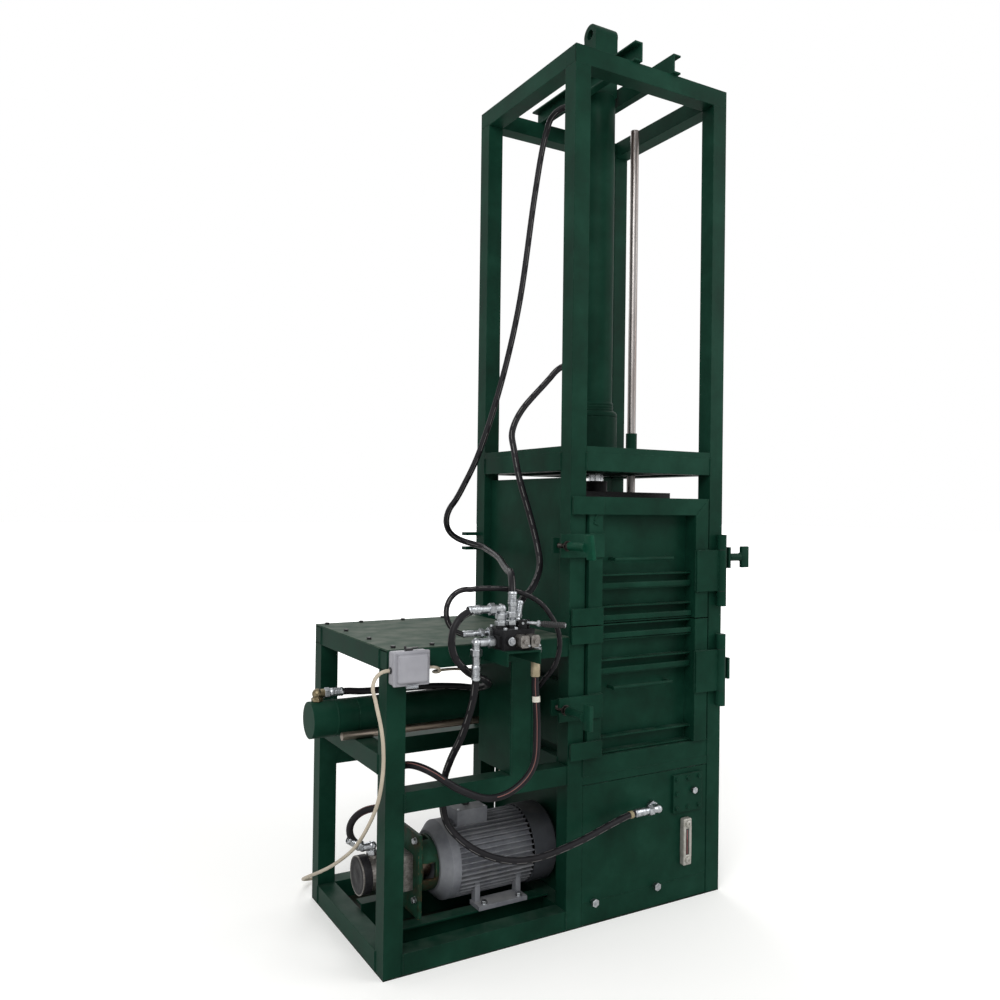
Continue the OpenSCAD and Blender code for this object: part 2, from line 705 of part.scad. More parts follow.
module clamp_strap(z) difference() {
  block([strap_x0, door_front - strap_t, z - strap_h / 2],
        [door_x0 + left_stile, door_front, z + strap_h / 2]);
  block([strap_x0 - eps, door_front - strap_t - eps, z - slot_w / 2],
        [clamp_x, door_front + eps, z + slot_w / 2]);
  bar_y(door_front - strap_t - eps, door_front + eps, clamp_x, z, slot_w);
}
module hinge_leaf(z0) difference() {
  union() {
    block([leaf_x0, door_front - strap_t, z0 + hinge_gap], [hinge_x, door_front, z0 + leaf_h - hinge_gap]);
    bar_z(z0 + hinge_gap, z0 + leaf_h - hinge_gap, hinge_x, hinge_y, knuckle_d);
  }
  bar_z(z0 - eps, z0 + leaf_h + eps, hinge_x, hinge_y, hinge_pin_d + 2 * slip);
}
member_t = 5;
rail_d = 35;
// Left and right stiles and a top member of folded section, with channel rails where the doors meet
module door_frame(z0, z1, lo, hi, box_top, clamp_z, leaf_z) {
  top_w = box_top ? hi : 0;
  difference() {
    block([door_x0, door_front, z0], [door_x1, door_back, z1]);
    block([door_x0 + left_stile, door_front - eps, z0 - eps],
          [door_x1 - door_member, door_back + eps, z1 - top_w]);
    if (!box_top) block([door_x0 + left_stile, door_front - eps, z1 - eps],
                        [door_x1 - door_member, door_back + eps, z1 + eps]);
    for (x = [[door_x0, door_x0 + left_stile], [door_x1 - door_member, door_x1]])
      block([x[0] + member_t, door_front + member_t, z0 + member_t],
            [x[1] - member_t, door_back + eps, z1 - member_t]);
    if (box_top) block([door_x0 + member_t, door_front + member_t, z1 - hi + member_t],
                       [door_x1 - member_t, door_back + eps, z1 - member_t]);
  }
  channel_x(door_x0 + left_stile, door_x1 - door_member, door_back, z0, lo, rail_d, member_t);
  if (!box_top)
    channel_x(door_x0 + left_stile, door_x1 - door_member, door_back, z1 - hi, hi, rail_d, member_t);
  for (r = [[z0, z0 + lo], [z1 - hi, z1]])
    block([x_t, door_front - overlap_t, r[0]], [door_x0 + left_stile, door_front, r[1]]);
  clamp_strap(clamp_z);
  hinge_leaf(leaf_z);
}
panel_t = 5;
door_rib_h = 50;
handle_d = 12;
handle_x0 = 170;
handle_x1 = 425;
upper_handle_z = 1190;
lower_handle_z = 762;
upper_rib_z = 1090;
lower_rib_z = 808;
handle_y = door_back - panel_t - 34;
module door_panel(z0, z1, ribs, handle_z) {
  block([door_x0 + left_stile, door_back - panel_t, z0], [door_x1 - door_member, door_back, z1]);
  for (z = ribs) channel_x(door_x0 + left_stile, door_x1 - door_member, door_back - panel_t, z, door_rib_h,
    wall_rib_w, wall_rib_t);
  bar_x(handle_x0, handle_x1, handle_y, handle_z, handle_d);
  for (x = [handle_x0 + handle_d / 2, handle_x1 - handle_d / 2])
    bar_y(handle_y, door_back - panel_t, x, handle_z, handle_d);
}
upper_z0 = door_split + door_gap / 2;
lower_z1 = door_split - door_gap / 2;
lower_z0 = sill_h + 2;
rail_split = 55;
rail_foot = 55;
upper_leaf = 1071;
lower_leaf = 718;
module upper_door() color(green)
  door_frame(upper_z0, door_top, rail_split, door_member, true, upper_clamp_z, upper_leaf);
module upper_panel() color(green)
  door_panel(upper_z0 + rail_split, door_top - door_member, [upper_rib_z], upper_handle_z);
module lower_door() color(green)
  door_frame(lower_z0, lower_z1, rail_foot, rail_split, false, lower_clamp_z, lower_leaf);
module lower_panel() color(green)
  door_panel(lower_z0 + rail_foot, lower_z1 - rail_split, [lower_rib_z], lower_handle_z);

side_x0 = in_x1 + 17;
side_x1 = x_r + door_proud;
side_y0 = -in_y + 10;
side_y1 = in_y - 10;
side_z0 = floor_top + 4;
side_z1 = 1385;
side_hx = x_r + knuckle_d / 2 + 1;
side_hy = y_b - 15;
side_strap_x = 681;
side_leaf_z = [700, 1120];
module side_strap(z) difference() {
  union() {
    block([side_strap_x, y_f, z - strap_h / 2], [side_strap_x + strap_t, -200, z + strap_h / 2]);
    block([side_x1, -240, z - strap_h / 2], [side_strap_x, -200, z + strap_h / 2]);
  }
  bar_x(side_x1, side_strap_x + strap_t + eps, side_clamp_y, z, slot_w);
}
// Door on the right that the ejector pushes the pressed block through
module discharge_door() color(green) {
  difference() {
    block([side_x0, side_y0, side_z0], [side_x1, side_y1, side_z1]);
    block([side_x0 + panel_t, side_y0 + door_member, side_z0 + door_member],
          [side_x1 + eps, side_y1 - door_member, side_z1 - door_member]);
  }
  for (z = [700, 900, 1100]) block([side_x0, side_y0 + 20, z], [side_x1 - 12, side_y1 - 20, z + 12]);
  for (z = [side_clamp_z, side_bolt_z]) side_strap(z);
  for (z = side_leaf_z) difference() {
    union() {
      block([side_x1, side_y1 - 60, z + hinge_gap], [side_x1 + strap_t, side_hy, z + leaf_h - hinge_gap]);
      bar_z(z + hinge_gap, z + leaf_h - hinge_gap, side_hx, side_hy, knuckle_d);
    }
    bar_z(z - eps, z + leaf_h + eps, side_hx, side_hy, hinge_pin_d + 2 * slip);
  }
  bar_x(x_r - 2, side_strap_x + strap_t + 8, side_clamp_y, side_bolt_z, slot_w);
  translate([side_strap_x + strap_t, side_clamp_y, side_bolt_z]) rotate([0, 90, 0]) hex_head(28, 10);
}

module fixed_knuckles(x, y, z, pad_a, pad_b) {
  difference() {
    for (k = [z - knuckle_l, z + leaf_h]) {
      bar_z(k, k + knuckle_l, x, y, knuckle_d);
      block([pad_a[0], pad_a[1], k], [pad_b[0], pad_b[1], k + knuckle_l]);
    }
    bar_z(z - knuckle_l - eps, z + leaf_h + knuckle_l + eps, x, y, hinge_pin_d);
  }
  bar_z(z - knuckle_l, z + leaf_h + knuckle_l, x, y, hinge_pin_d);
}
// Knuckles welded to the posts, with their pins
module hinge_barrels() color(green) {
  for (z = [upper_leaf, lower_leaf])
    fixed_knuckles(hinge_x, hinge_y, z, [hinge_x - 9, hinge_y + 8], [hinge_x + 9, y_f]);
  for (z = side_leaf_z)
    fixed_knuckles(side_hx, side_hy, z, [x_r, side_hy - 9], [side_hx - 8, side_hy + 9]);
}

clamp_sleeve_d = 28;
t_bar = [14, 78, 36];
clamp_out = 15;
// Clamp screw along its own axis: the tip points down, the crossbar is on top
module clamp_screw(tip, sleeve_l) {
  translate([0, 0, -tip]) cylinder(d = clamp_d, h = tip + clamp_out + sleeve_l);
  translate([0, 0, clamp_out]) cylinder(d = clamp_sleeve_d, h = sleeve_l);
  translate([-t_bar[0] / 2, -t_bar[1] / 2, clamp_out + sleeve_l]) cube(t_bar);
}
clamp_tip = door_proud + strap_t + lug_back + lug_t + 2;
clamp_sleeve = 90;
module clamp_upper() color(green) translate([clamp_x, door_front - strap_t, upper_clamp_z])
  rotate([90, 0, 0]) rotate(8) clamp_screw(clamp_tip, clamp_sleeve);
module clamp_lower() color(green) translate([clamp_x, door_front - strap_t, lower_clamp_z])
  rotate([90, 0, 0]) clamp_screw(clamp_tip, clamp_sleeve);
module clamp_side() color(green) translate([side_strap_x + strap_t, side_clamp_y, side_clamp_z])
  rotate([0, 90, 0]) rotate(90) clamp_screw(side_strap_x + strap_t - x_r + 3, 60);

// Junction box and leads
jb_x0 = -642;
jb_x1 = -532;
jb_h = 96;
jb_z1 = table_h + 2;
jb_z0 = jb_z1 - jb_h;
jb_d = 34;
lid_d = 22;
gland_y = y_f - 18;
gland_z = jb_z0 + 42;
module junction_box() color("#b9bcc4") {
  block([jb_x0, y_f - jb_d, jb_z0], [jb_x1, y_f, jb_z1]);
  bar_x(jb_x0 - 18, jb_x0, gland_y, gland_z, 20);
  bar_x(jb_x1, jb_x1 + 16, gland_y, gland_z, 18);
}
module junction_lid() color("#b9bcc4") difference() {
  union() {
    block([jb_x0 - 2, y_f - jb_d - 10, jb_z0 - 2], [jb_x1 + 2, y_f - jb_d, jb_z1 + 2]);
    block([jb_x0 + 8, y_f - jb_d - lid_d, jb_z0 + 8], [jb_x1 - 8, y_f - jb_d - 10, jb_z1 - 8]);
  }
  for (x = [jb_x0 + 5, jb_x1 - 5], z = [jb_z0 + 5, jb_z1 - 5])
    bar_y(y_f - jb_d - 20, y_f - jb_d - 6, x, z, 8);
}

// A smooth curve through hand-chosen points, and a tube swept along it
function curve_at(p, i, t) =
  let (n = len(p) - 1, a = p[max(i - 1, 0)], b = p[i], c = p[min(i + 1, n)], d = p[min(i + 2, n)])
  0.5 * (2 * b + (c - a) * t + (2 * a - 5 * b + 4 * c - d) * t * t + (3 * b - a - 3 * c + d) * t * t * t);
function curve(p, k) = [for (i = [0:len(p) - 2], j = [0:k - 1]) curve_at(p, i, j / k), p[len(p) - 1]];
function unit(v) = v / norm(v);
function across(v, n) = unit(v - (v * n) * n);
function heading(c, i) = unit(c[min(i + 1, len(c) - 1)] - c[max(i - 1, 0)]);
function first_side(h) = across(abs(h[2]) > 0.8 ? [1, 0, 0] : [0, 0, 1], h);
function sides(c) = [for (i = 0, s = first_side(heading(c, 0));
  i < len(c); i = i + 1, s = i < len(c) ? across(s, heading(c, i)) : s) s];
ring_n = 10;
module swept(route, d, k = 3) {
  c = curve(route, k);
  s = sides(c);
  pts = [for (i = [0:len(c) - 1], a = [0:ring_n - 1]) let (h = heading(c, i), u = s[i], w = cross(h, u))
    c[i] + d / 2 * (cos(a * 360 / ring_n) * u + sin(a * 360 / ring_n) * w)];
  last = (len(c) - 1) * ring_n;
  quads = [for (i = [0:len(c) - 2], a = [0:ring_n - 1]) let (b = (a + 1) % ring_n)
    [i * ring_n + a, (i + 1) * ring_n + a, (i + 1) * ring_n + b, i * ring_n + b]];
  ends = [[for (a = [0:ring_n - 1]) a], [for (a = [ring_n - 1:-1:0]) last + a]];
  polyhedron(pts, concat(quads, ends), 4);
}

coil_p = [250, 440];
coil_r = 65;
coil_w = 34;
coil_h = 23;
lead_z = 7;
// Cord ends stop this far from the fitting that grips them
cord_seat = 0.3;
mains_route = [[jb_x0 - 18 - cord_seat, gland_y, gland_z], [-668, gland_y, gland_z],
  [-678, gland_y, gland_z], [-694, -338, 874], [-698, -343, 846], [-692, -352, 800], [-682, -364, 740],
  [-676, -368, 680], [-674, -362, 610], [-673, -330, 525], [-672, -262, 437], [-672, -150, 332],
  [-672, 17, 225], [-672, 157, 150], [-672, 255, 102], [-666, 345, 58], [-640, 410, 26],
  [-585, 438, 10], [-500, 432, lead_z], [-350, 412, lead_z], [-150, 390, lead_z], [30, 368, lead_z],
  [130, 366, lead_z], [180, 366, lead_z], [204.5, 366, lead_z]];
motor_route = [[jb_x1 + 16 + cord_seat, gland_y, gland_z], [-508, gland_y, gland_z],
  [-499, gland_y, gland_z], [-482, -325, 880], [-474, -300, 868], [-468, -262, 860], [-455, -230, 856],
  [-400, -170, 846], [-310, -110, 832], [-215, -80, 812], [-130, -110, 770], [-112, -170, 700],
  [-118, -190, 620], [-132, -170, 540], [-175, -120, 470], [-235, -90, 440], [-260, motor_y, 412],
  [-260, motor_y, 394], [-260, motor_y, motor_z + core_d / 2 - 10 + tbox[2] + cord_seat]];
h1_route = [h1_top - [cord_seat, 0, 0], [214, 0, 2830], [196, 0, 2830], [160, 22, 2825],
  [132, 42, 2790], [110, 66, 2700], [86, 90, 2491], [55, 130, 2126], [6, 170, 1830], [-61, 210, 1570],
  [-119, 244, 1421], [-160, 272, 1330], [-150, 292, 1268], [-100, 298, 1234], [-60, 280, 1226],
  [-48, 200, 1210], [-90, 20, 1185], [-190, -200, 1166], [-256, -350, 1152], [-276, -390, 1132],
  [-279, -397, 1098], [-279, -397, 1078], h1_end + [0, 0, cord_seat]];
h2_route = [h2_top + [0, 0, cord_seat], [232, 0, 1812], [232, 0, 1828], [222, -12, 1860],
  [195, -28, 1876], [150, -40, 1870], [100, -42, 1838], [58, -40, 1796], [-37, -46, 1699],
  [-85, -60, 1620], [-92, -85, 1554], [-86, -115, 1452], [-60, -140, 1334], [-44, -165, 1230],
  [-60, -205, 1165], [-130, -280, 1112], [-205, -342, 1080], [-240, -366, 1062], [-250, -372, 1042],
  [-250, -372, 1031], h2_end + [0, 0, cord_seat]];
h3_route = [h3_top - [cord_seat, 0, 0], [-400, -397, 1058], [-416, -397, 1058], [-450, -400, 1050],
  [-478, -404, 1022], [-488, -405, 980], [-466, -396, 924], [-410, -366, 872], [-330, -318, 836],
  [-268, -235, 800], [-255, -140, 772], [-285, -55, 764], [-370, -12, 764], [-480, -2, 764],
  [-590, 0, 766], [-640, 0, 771], [-672, 0, 772], [-688, 0, 772], h3_end + [cord_seat, 0, 0]];
h4_route = [h4_top - [cord_seat, 0, 0], [-404, -368, 985], [-418, -368, 985], [-452, -367, 994],
  [-476, -366, 1018], [-488, -365, 1056], [-470, -362, 1096], [-420, -358, 1112], [-340, -360, 1116],
  [-250, -364, 1106], [-164, -372, 1066], [-105, -372, 994], [-86, -366, 930], [-92, -350, 866],
  [-104, -305, 812], [-100, -240, 756], [-84, -185, 704], [-80, -146, ej_z], [-80, -130, ej_z],
  h4_end - [0, cord_seat, 0]];
h5_route = [h5_top - [0, 0, cord_seat], [-402, -400, 880], [-402, -400, 864], [-400, -380, 790],
  [-400, -320, 680], [-405, -255, 590], [-414, -228, 520], [-418, -228, 440], [-402, -248, 375],
  [-342, -300, 316], [-250, -338, 280], [-139, -352, 274], [1, -360, 300], [120, -358, 330],
  [200, -354, 347], [242, -353, 350], [258, -353, 350], h5_end - [cord_seat, 0, 0]];
h6_route = [h6_top - [0, 0, cord_seat], [-206, -415, 838], [-206, -415, 820], [-202, -422, 700],
  [-214, -426, 590], [-270, -416, 525], [-350, -400, 502], [-439, -380, 535], [-520, -350, 590],
  [-562, -300, 606], [-570, -240, 575], [-568, -195, 500], [-582, -165, 445], [-620, -130, 430],
  [-655, -100, 412], [-670, -84, 375], [-667, -80, 332], [-644, -80, 300], [-630, -80, 300],
  h6_end - [cord_seat, 0, 0]];

module mains_lead() color(beige) swept(mains_route, lead_d);
module mains_coil() color(beige) translate([coil_p[0], coil_p[1], 0.5]) rotate_extrude()
  translate([coil_r - coil_w / 2, 0]) square([coil_w, coil_h]);
plug_x = 327;
plug_y = coil_p[1] - coil_r;
plug_r = 27;
module mains_plug() color("#2a2a2c") {
  bar_x(plug_x, plug_x + 80, plug_y, plug_r, 2 * plug_r);
  bar_x(plug_x + 80, plug_x + 112, plug_y, plug_r, 2 * plug_r - 6);
  translate([plug_x, plug_y, plug_r]) rotate([0, -90, 0]) cylinder(d1 = 36, d2 = 18, h = 17);
}
module motor_lead() color(beige) swept(motor_route, motor_lead_d);
module head_hose() color(black) swept(h1_route, hose_d);
module foot_hose() color(black) swept(h2_route, hose_d);
module cap_hose() color(black) swept(h3_route, hose_d);
module rod_hose() color(black) swept(h4_route, hose_s_d);
module return_hose() color(black) swept(h5_route, hose_d);
module pressure_hose() color(black) swept(h6_route, hose_d);

floor_pan();
base_rails();
tower_posts();
tower_beams();
top_channels();
mid_plate();
chamber_floor();
chamber_walls();
table_posts();
table_rails();
table_cover();
panel_bolts();
oil_tank();
tank_cover();
service_plate();
level_gauge();
tank_fittings();
cylinder_barrel();
cylinder_gland();
guide_bushes();
ram_rod();
platen();
guide_rods();
ejector_barrel();
ejector_head();
ejector_rod();
pusher_plate();
pusher_guides();
valve_stand();
valve_body();
spool_caps();
hose_fittings();
valve_lever();
motor_body();
motor_shaft();
fan_cover();
bell_housing();
pump();
motor_rails();
upper_door();
upper_panel();
lower_door();
lower_panel();
discharge_door();
hinge_barrels();
clamp_upper();
clamp_lower();
clamp_side();
junction_box();
junction_lid();
mains_lead();
mains_coil();
mains_plug();
motor_lead();
head_hose();
foot_hose();
cap_hose();
rod_hose();
return_hose();
pressure_hose();
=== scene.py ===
import math
from itertools import product

import bpy
import bmesh
from mathutils import Matrix, Vector


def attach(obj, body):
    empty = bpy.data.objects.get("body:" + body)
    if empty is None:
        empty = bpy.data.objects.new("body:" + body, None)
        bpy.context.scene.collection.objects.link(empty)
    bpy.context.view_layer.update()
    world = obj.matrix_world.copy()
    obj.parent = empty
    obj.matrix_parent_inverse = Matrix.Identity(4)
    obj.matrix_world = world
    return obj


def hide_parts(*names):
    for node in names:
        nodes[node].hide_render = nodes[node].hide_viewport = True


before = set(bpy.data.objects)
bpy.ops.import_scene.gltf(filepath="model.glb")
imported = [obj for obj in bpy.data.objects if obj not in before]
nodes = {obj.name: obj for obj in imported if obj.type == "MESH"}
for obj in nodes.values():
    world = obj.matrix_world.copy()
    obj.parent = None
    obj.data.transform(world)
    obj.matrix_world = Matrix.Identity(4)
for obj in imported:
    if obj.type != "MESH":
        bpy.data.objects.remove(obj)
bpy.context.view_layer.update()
scene = bpy.context.scene
scene.view_settings.view_transform = "Standard"
mm = 0.001
print("frame loaded:", len(nodes), "nodes")


def hexColour(text):
    # sRGB hex to linear, with alpha 1
    parts = [int(text[i:i + 2], 16) / 255 for i in (1, 3, 5)]
    return [c / 12.92 if c <= 0.04045 else ((c + 0.055) / 1.055) ** 2.4 for c in parts] + [1]


def setInputs(tree, node, values):
    # links or sets inputs by name or number; a node is read at its first output
    for key, value in values.items():
        if isinstance(value, bpy.types.Node):
            value = value.outputs[0]
        if isinstance(value, bpy.types.NodeSocket):
            tree.links.new(value, node.inputs[key])
        else:
            node.inputs[key].default_value = value


def addNode(tree, kind, inputs=None, stops=(), **settings):
    # one node with its inputs and settings; a ramp's stops are hex colours or grey levels
    made = tree.nodes.new("ShaderNode" + kind)
    for key, value in settings.items():
        setattr(made, key, value)
    setInputs(tree, made, inputs or {})
    if stops:
        band = made.color_ramp.elements
        for _ in stops[2:]:
            band.new(0.5)
        for element, (place, colour) in zip(band, stops):
            element.position = place
            element.color = hexColour(colour) if isinstance(colour, str) else (colour, colour, colour, 1)
    return made


def newMaterial(name, values):
    made = bpy.data.materials.new(name)
    made.use_nodes = True
    shader = made.node_tree.nodes["Principled BSDF"]
    setInputs(made.node_tree, shader, values)
    return made, made.node_tree, shader


def patternScale(sizeMm):
    # noise cells per metre for a pattern whose features are sizeMm across
    return 1000 / sizeMm


# Brushed-on machine enamel: satin, slightly uneven, dusty on top, rubbed at the edges
enamel = {
    "colour": "#0e3024", "shade": "#0a261c", "light": "#173b2e", "dust": "#46534b", "rub": "#2c4c3f",
    "blotchMm": 180, "chipMm": 14, "speckMm": 60, "peelMm": 4, "edgeMm": 2.2, "roughness": 0.40,
    "dustAmount": 0.35, "shine": 0.05, "grain": (1, 1, 1),
}


def edgeMask(tree, edgeMm, low=0.80, high=0.97):
    # 1 along outside and inside edges, found by how far a rounded normal turns from the flat one
    rounded = addNode(tree, "Bevel", {"Radius": edgeMm * mm}, samples=6)
    flat = addNode(tree, "NewGeometry").outputs["True Normal"]
    turn = addNode(tree, "VectorMath", {0: rounded, 1: flat}, operation="DOT_PRODUCT").outputs["Value"]
    return addNode(tree, "MapRange", {"Value": turn, "From Min": high, "From Max": low}), rounded


def painted(name, **changes):
    look = {**enamel, **changes}
    made, tree, shader = newMaterial(name, {"IOR": 1.5, "Specular IOR Level": look["shine"]})
    place = addNode(tree, "TexCoord").outputs["Object"]
    drawn = addNode(tree, "Mapping", {"Vector": place, "Scale": look["grain"]})
    blotch = addNode(tree, "TexNoise", {"Vector": drawn, "Scale": patternScale(look["blotchMm"]),
                                        "Detail": 5.0, "Roughness": 0.6})
    base = addNode(tree, "ValToRGB", {"Fac": blotch},
                   [(0.32, look["shade"]), (0.52, look["colour"]), (0.74, look["light"])])
    # handling wear breaks up along the edges
    edges, rounded = edgeMask(tree, look["edgeMm"])
    chip = addNode(tree, "TexNoise", {"Vector": place, "Scale": patternScale(look["chipMm"]), "Detail": 6.0})
    chips = addNode(tree, "ValToRGB", {"Fac": chip}, [(0.50, 0), (0.66, 1)])
    wear = addNode(tree, "Math", {0: edges, 1: chips}, operation="MULTIPLY")
    rubbed = addNode(tree, "Mix", {0: wear, 6: base, 7: hexColour(look["rub"])}, data_type="RGBA").outputs[2]
    # dust lies on what faces up
    normal = addNode(tree, "NewGeometry").outputs["True Normal"]
    facing = addNode(tree, "SeparateXYZ", {0: normal}).outputs["Z"]
    upward = addNode(tree, "MapRange", {"Value": facing, "From Min": 0.55, "From Max": 0.95})
    speck = addNode(tree, "TexNoise", {"Vector": place, "Scale": patternScale(look["speckMm"]),
                                       "Detail": 7.0})
    specks = addNode(tree, "ValToRGB", {"Fac": speck}, [(0.35, 0), (0.75, look["dustAmount"])])
    dust = addNode(tree, "Math", {0: upward, 1: specks}, operation="MULTIPLY")
    dusty = addNode(tree, "Mix", {0: dust, 6: rubbed, 7: hexColour(look["dust"])}, data_type="RGBA")
    sheen = addNode(tree, "MapRange", {"Value": blotch, "To Min": look["roughness"] - 0.08,
                                       "To Max": look["roughness"] + 0.14})
    # brush marks, drawn coarse enough to show
    peel = addNode(tree, "TexNoise", {"Vector": place, "Scale": patternScale(look["peelMm"]), "Detail": 3.0})
    bump = addNode(tree, "Bump", {"Height": peel, "Strength": 0.05, "Distance": 0.3 * mm, "Normal": rounded})
    setInputs(tree, shader, {"Base Color": dusty.outputs[2], "Roughness": sheen, "Normal": bump})
    return made


def metal(name, colour, darker, roughness, spotMm, edgeMm=0.8, metallic=1.0, bumpMm=0.05,
          cut=(0.4, 0.62), grain=(1, 1, 1), shine=0.5):
    # a metal whose tarnish or plating varies in patches, drawn out along the grain
    made, tree, shader = newMaterial(name, {"Metallic": metallic, "Specular IOR Level": shine})
    place = addNode(tree, "TexCoord").outputs["Object"]
    drawn = addNode(tree, "Mapping", {"Vector": place, "Scale": grain})
    spot = addNode(tree, "TexNoise", {"Vector": drawn, "Scale": patternScale(spotMm), "Detail": 6.0,
                                      "Roughness": 0.65})
    base = addNode(tree, "ValToRGB", {"Fac": spot}, [(cut[0], darker), (cut[1], colour)])
    sheen = addNode(tree, "MapRange", {"Value": spot, "To Min": roughness + 0.12,
                                       "To Max": max(roughness - 0.1, 0.05)})
    rounded = addNode(tree, "Bevel", {"Radius": edgeMm * mm}, samples=4)
    bump = addNode(tree, "Bump", {"Height": spot, "Strength": 0.12, "Distance": bumpMm * mm,
                                  "Normal": rounded})
    setInputs(tree, shader, {"Base Color": base, "Roughness": sheen, "Normal": bump})
    return made


def moulded(name, colour, darker, roughness, grainMm, patchMm=60, edgeMm=1.0, strength=0.08, shine=0.5):
    # a moulded or extruded plastic or rubber: even colour, fine grain, faint smudges
    made, tree, shader = newMaterial(name, {"IOR": 1.5, "Specular IOR Level": shine})
    place = addNode(tree, "TexCoord").outputs["Object"]
    patch = addNode(tree, "TexNoise", {"Vector": place, "Scale": patternScale(patchMm), "Detail": 5.0})
    base = addNode(tree, "ValToRGB", {"Fac": patch}, [(0.35, darker), (0.6, colour)])
    sheen = addNode(tree, "MapRange", {"Value": patch, "To Min": roughness + 0.08,
                                       "To Max": roughness - 0.08})
    rounded = addNode(tree, "Bevel", {"Radius": edgeMm * mm}, samples=4)
    grain = addNode(tree, "TexNoise", {"Vector": place, "Scale": patternScale(grainMm), "Detail": 3.0})
    bump = addNode(tree, "Bump", {"Height": grain, "Strength": strength, "Distance": 0.2 * mm,
                                  "Normal": rounded})
    setInputs(tree, shader, {"Base Color": base, "Roughness": sheen, "Normal": bump})
    return made


greenEnamel = painted("greenEnamel")
# a lighter green on the upper clamp: painted light, a lit copy of the clamp enamel standing in for the lamp's
# light falling more on it than on the other clamps
upperClampLitEnamel = painted("upperClampLitEnamel", colour="#124433", shade="#0d3526", light="#1b5340")
# scuffed by what is set down on it: greyer, duller, streaked along the table
wornEnamel = painted("wornEnamel", colour="#34463b", shade="#20382c", light="#4c574d", dust="#666b62",
                     blotchMm=30, roughness=0.6, dustAmount=0.75, grain=(0.08, 1, 1))
# grey motor paint, dusty on top, darker on the fan's cover
motorEnamel = painted("motorEnamel", colour="#6f7176", shade="#5e6066", light="#808286", dust="#989690",
                      rub="#a2a3a5", roughness=0.46, blotchMm=90)
fanEnamel = painted("fanEnamel", colour="#3f4145", shade="#333539", light="#4e5054", dust="#6f6c66",
                    rub="#828384", roughness=0.5)
# handled and greasy, so rust shows through along the plate
wornPlate = painted("wornPlate", colour="#1b3a2b", shade="#3a2c20", light="#24493a", rub="#8a6a4c",
                    edgeMm=4.0, blotchMm=60)
# oil and swarf have settled on the sheet under the motor
oilyPan = painted("oilyPan", colour="#18211b", shade="#0f1511", light="#2a2f28", dust="#3a382f",
                  blotchMm=140, roughness=0.5)
# plated fittings: bright with dull patches, yellowed, or tan and half matt
zincPlate = metal("brightZincPlate", "#b9bcbf", "#94979b", 0.30, 12, bumpMm=0.02)
yellowZinc = metal("yellowZincPlate", "#8d8168", "#655b46", 0.40, 10)
tanSleeve = metal("tanZincSleeve", "#aa9d83", "#8f836b", 0.46, 20, metallic=0.5)
# piston rods: mirror smooth
hardChrome = metal("hardChrome", "#dcdee0", "#c3c6ca", 0.14, 40, bumpMm=0.01)
# drawn bar: grey, with brownish streaks along its length
drawnBar = metal("drawnSteelBar", "#9b9896", "#6a5c57", 0.36, 16, grain=(1, 1, 0.02), cut=(0.34, 0.6))
greasyBar = metal("greasySteelBar", "#a1968a", "#665a4e", 0.36, 14, grain=(0.03, 1, 1))
# bare and blackened steel and iron: brown stains, matt grain, oily darkness
wornSteel = metal("wornBareSteel", "#8a7f74", "#5a4636", 0.42, 22)
blackIron = metal("blackCastIron", "#1a1a1d", "#101012", 0.5, 8, metallic=0.0, bumpMm=0.25, shine=0.2)
blackOxide = metal("blackOxideBolt", "#2a2a2c", "#18181a", 0.45, 4, metallic=0.6)
threadSteel = metal("oiledThreadSteel", "#4a4643", "#282422", 0.42, 6)
# aluminium: soft grey, grainy where cast
castAluminium = metal("castAluminium", "#8e8b87", "#716d69", 0.48, 9, bumpMm=0.1)
gaugeAluminium = metal("gaugeAluminium", "#a9a7a1", "#99978f", 0.46, 14, metallic=0.5, bumpMm=0.02)
# moulded ABS: even and matt
boxPlastic = moulded("greyAbs", "#94949a", "#8a8a90", 0.5, 1.2, shine=0.3)
# hose rubber: near black, dull, with a cloth-like grain
hoseRubber = moulded("hoseRubber", "#19181b", "#121114", 0.44, 1.6, strength=0.25, shine=0.16)
agedRubber = moulded("agedHoseRubber", "#19181b", "#121114", 0.44, 1.6, strength=0.25, shine=0.16)

printed = {"dashShare": 0.7, "strength": 0.55, "turns": (0.2, 0.53, 0.86)}


def layLine(material, colour, around, width, dashes):
    # the line printed along a hose, broken into dashes; u runs along the hose and v round it
    tree = material.node_tree
    shader = tree.nodes["Principled BSDF"]
    under = shader.inputs["Base Color"].links[0].from_socket
    place = addNode(tree, "SeparateXYZ", {0: addNode(tree, "TexCoord").outputs["UV"]}).outputs
    near = addNode(tree, "Math", {0: place["Y"], 1: around, 2: width}, operation="COMPARE")
    run = addNode(tree, "Math", {0: place["X"], 1: dashes}, operation="MULTIPLY")
    run = addNode(tree, "Math", {0: run}, operation="FRACT")
    dash = addNode(tree, "Math", {0: run, 1: printed["dashShare"]}, operation="LESS_THAN")
    drawn = addNode(tree, "Math", {0: near, 1: dash}, operation="MULTIPLY")
    worn = addNode(tree, "Math", {0: drawn, 1: printed["strength"]}, operation="MULTIPLY")
    mixed = addNode(tree, "Mix", {0: worn, 6: under, 7: hexColour(colour)}, data_type="RGBA")
    setInputs(tree, shader, {"Base Color": mixed.outputs[2]})


for turn in printed["turns"]:
    layLine(hoseRubber, "#8d8b89", turn, 0.012, 26)
    layLine(agedRubber, "#9a6660", turn, 0.016, 2)
# extruded PVC sheath: smooth, half matt
leadPvc = moulded("beigePvc", "#b3a896", "#a49a88", 0.48, 3)
# moulded plug and grip plastics: near black with a soft shine
plugPlastic = moulded("blackPhenolic", "#232326", "#1b1b1e", 0.45, 1.0)
gripPlastic = moulded("gripPlastic", "#161618", "#101012", 0.4, 1.0)
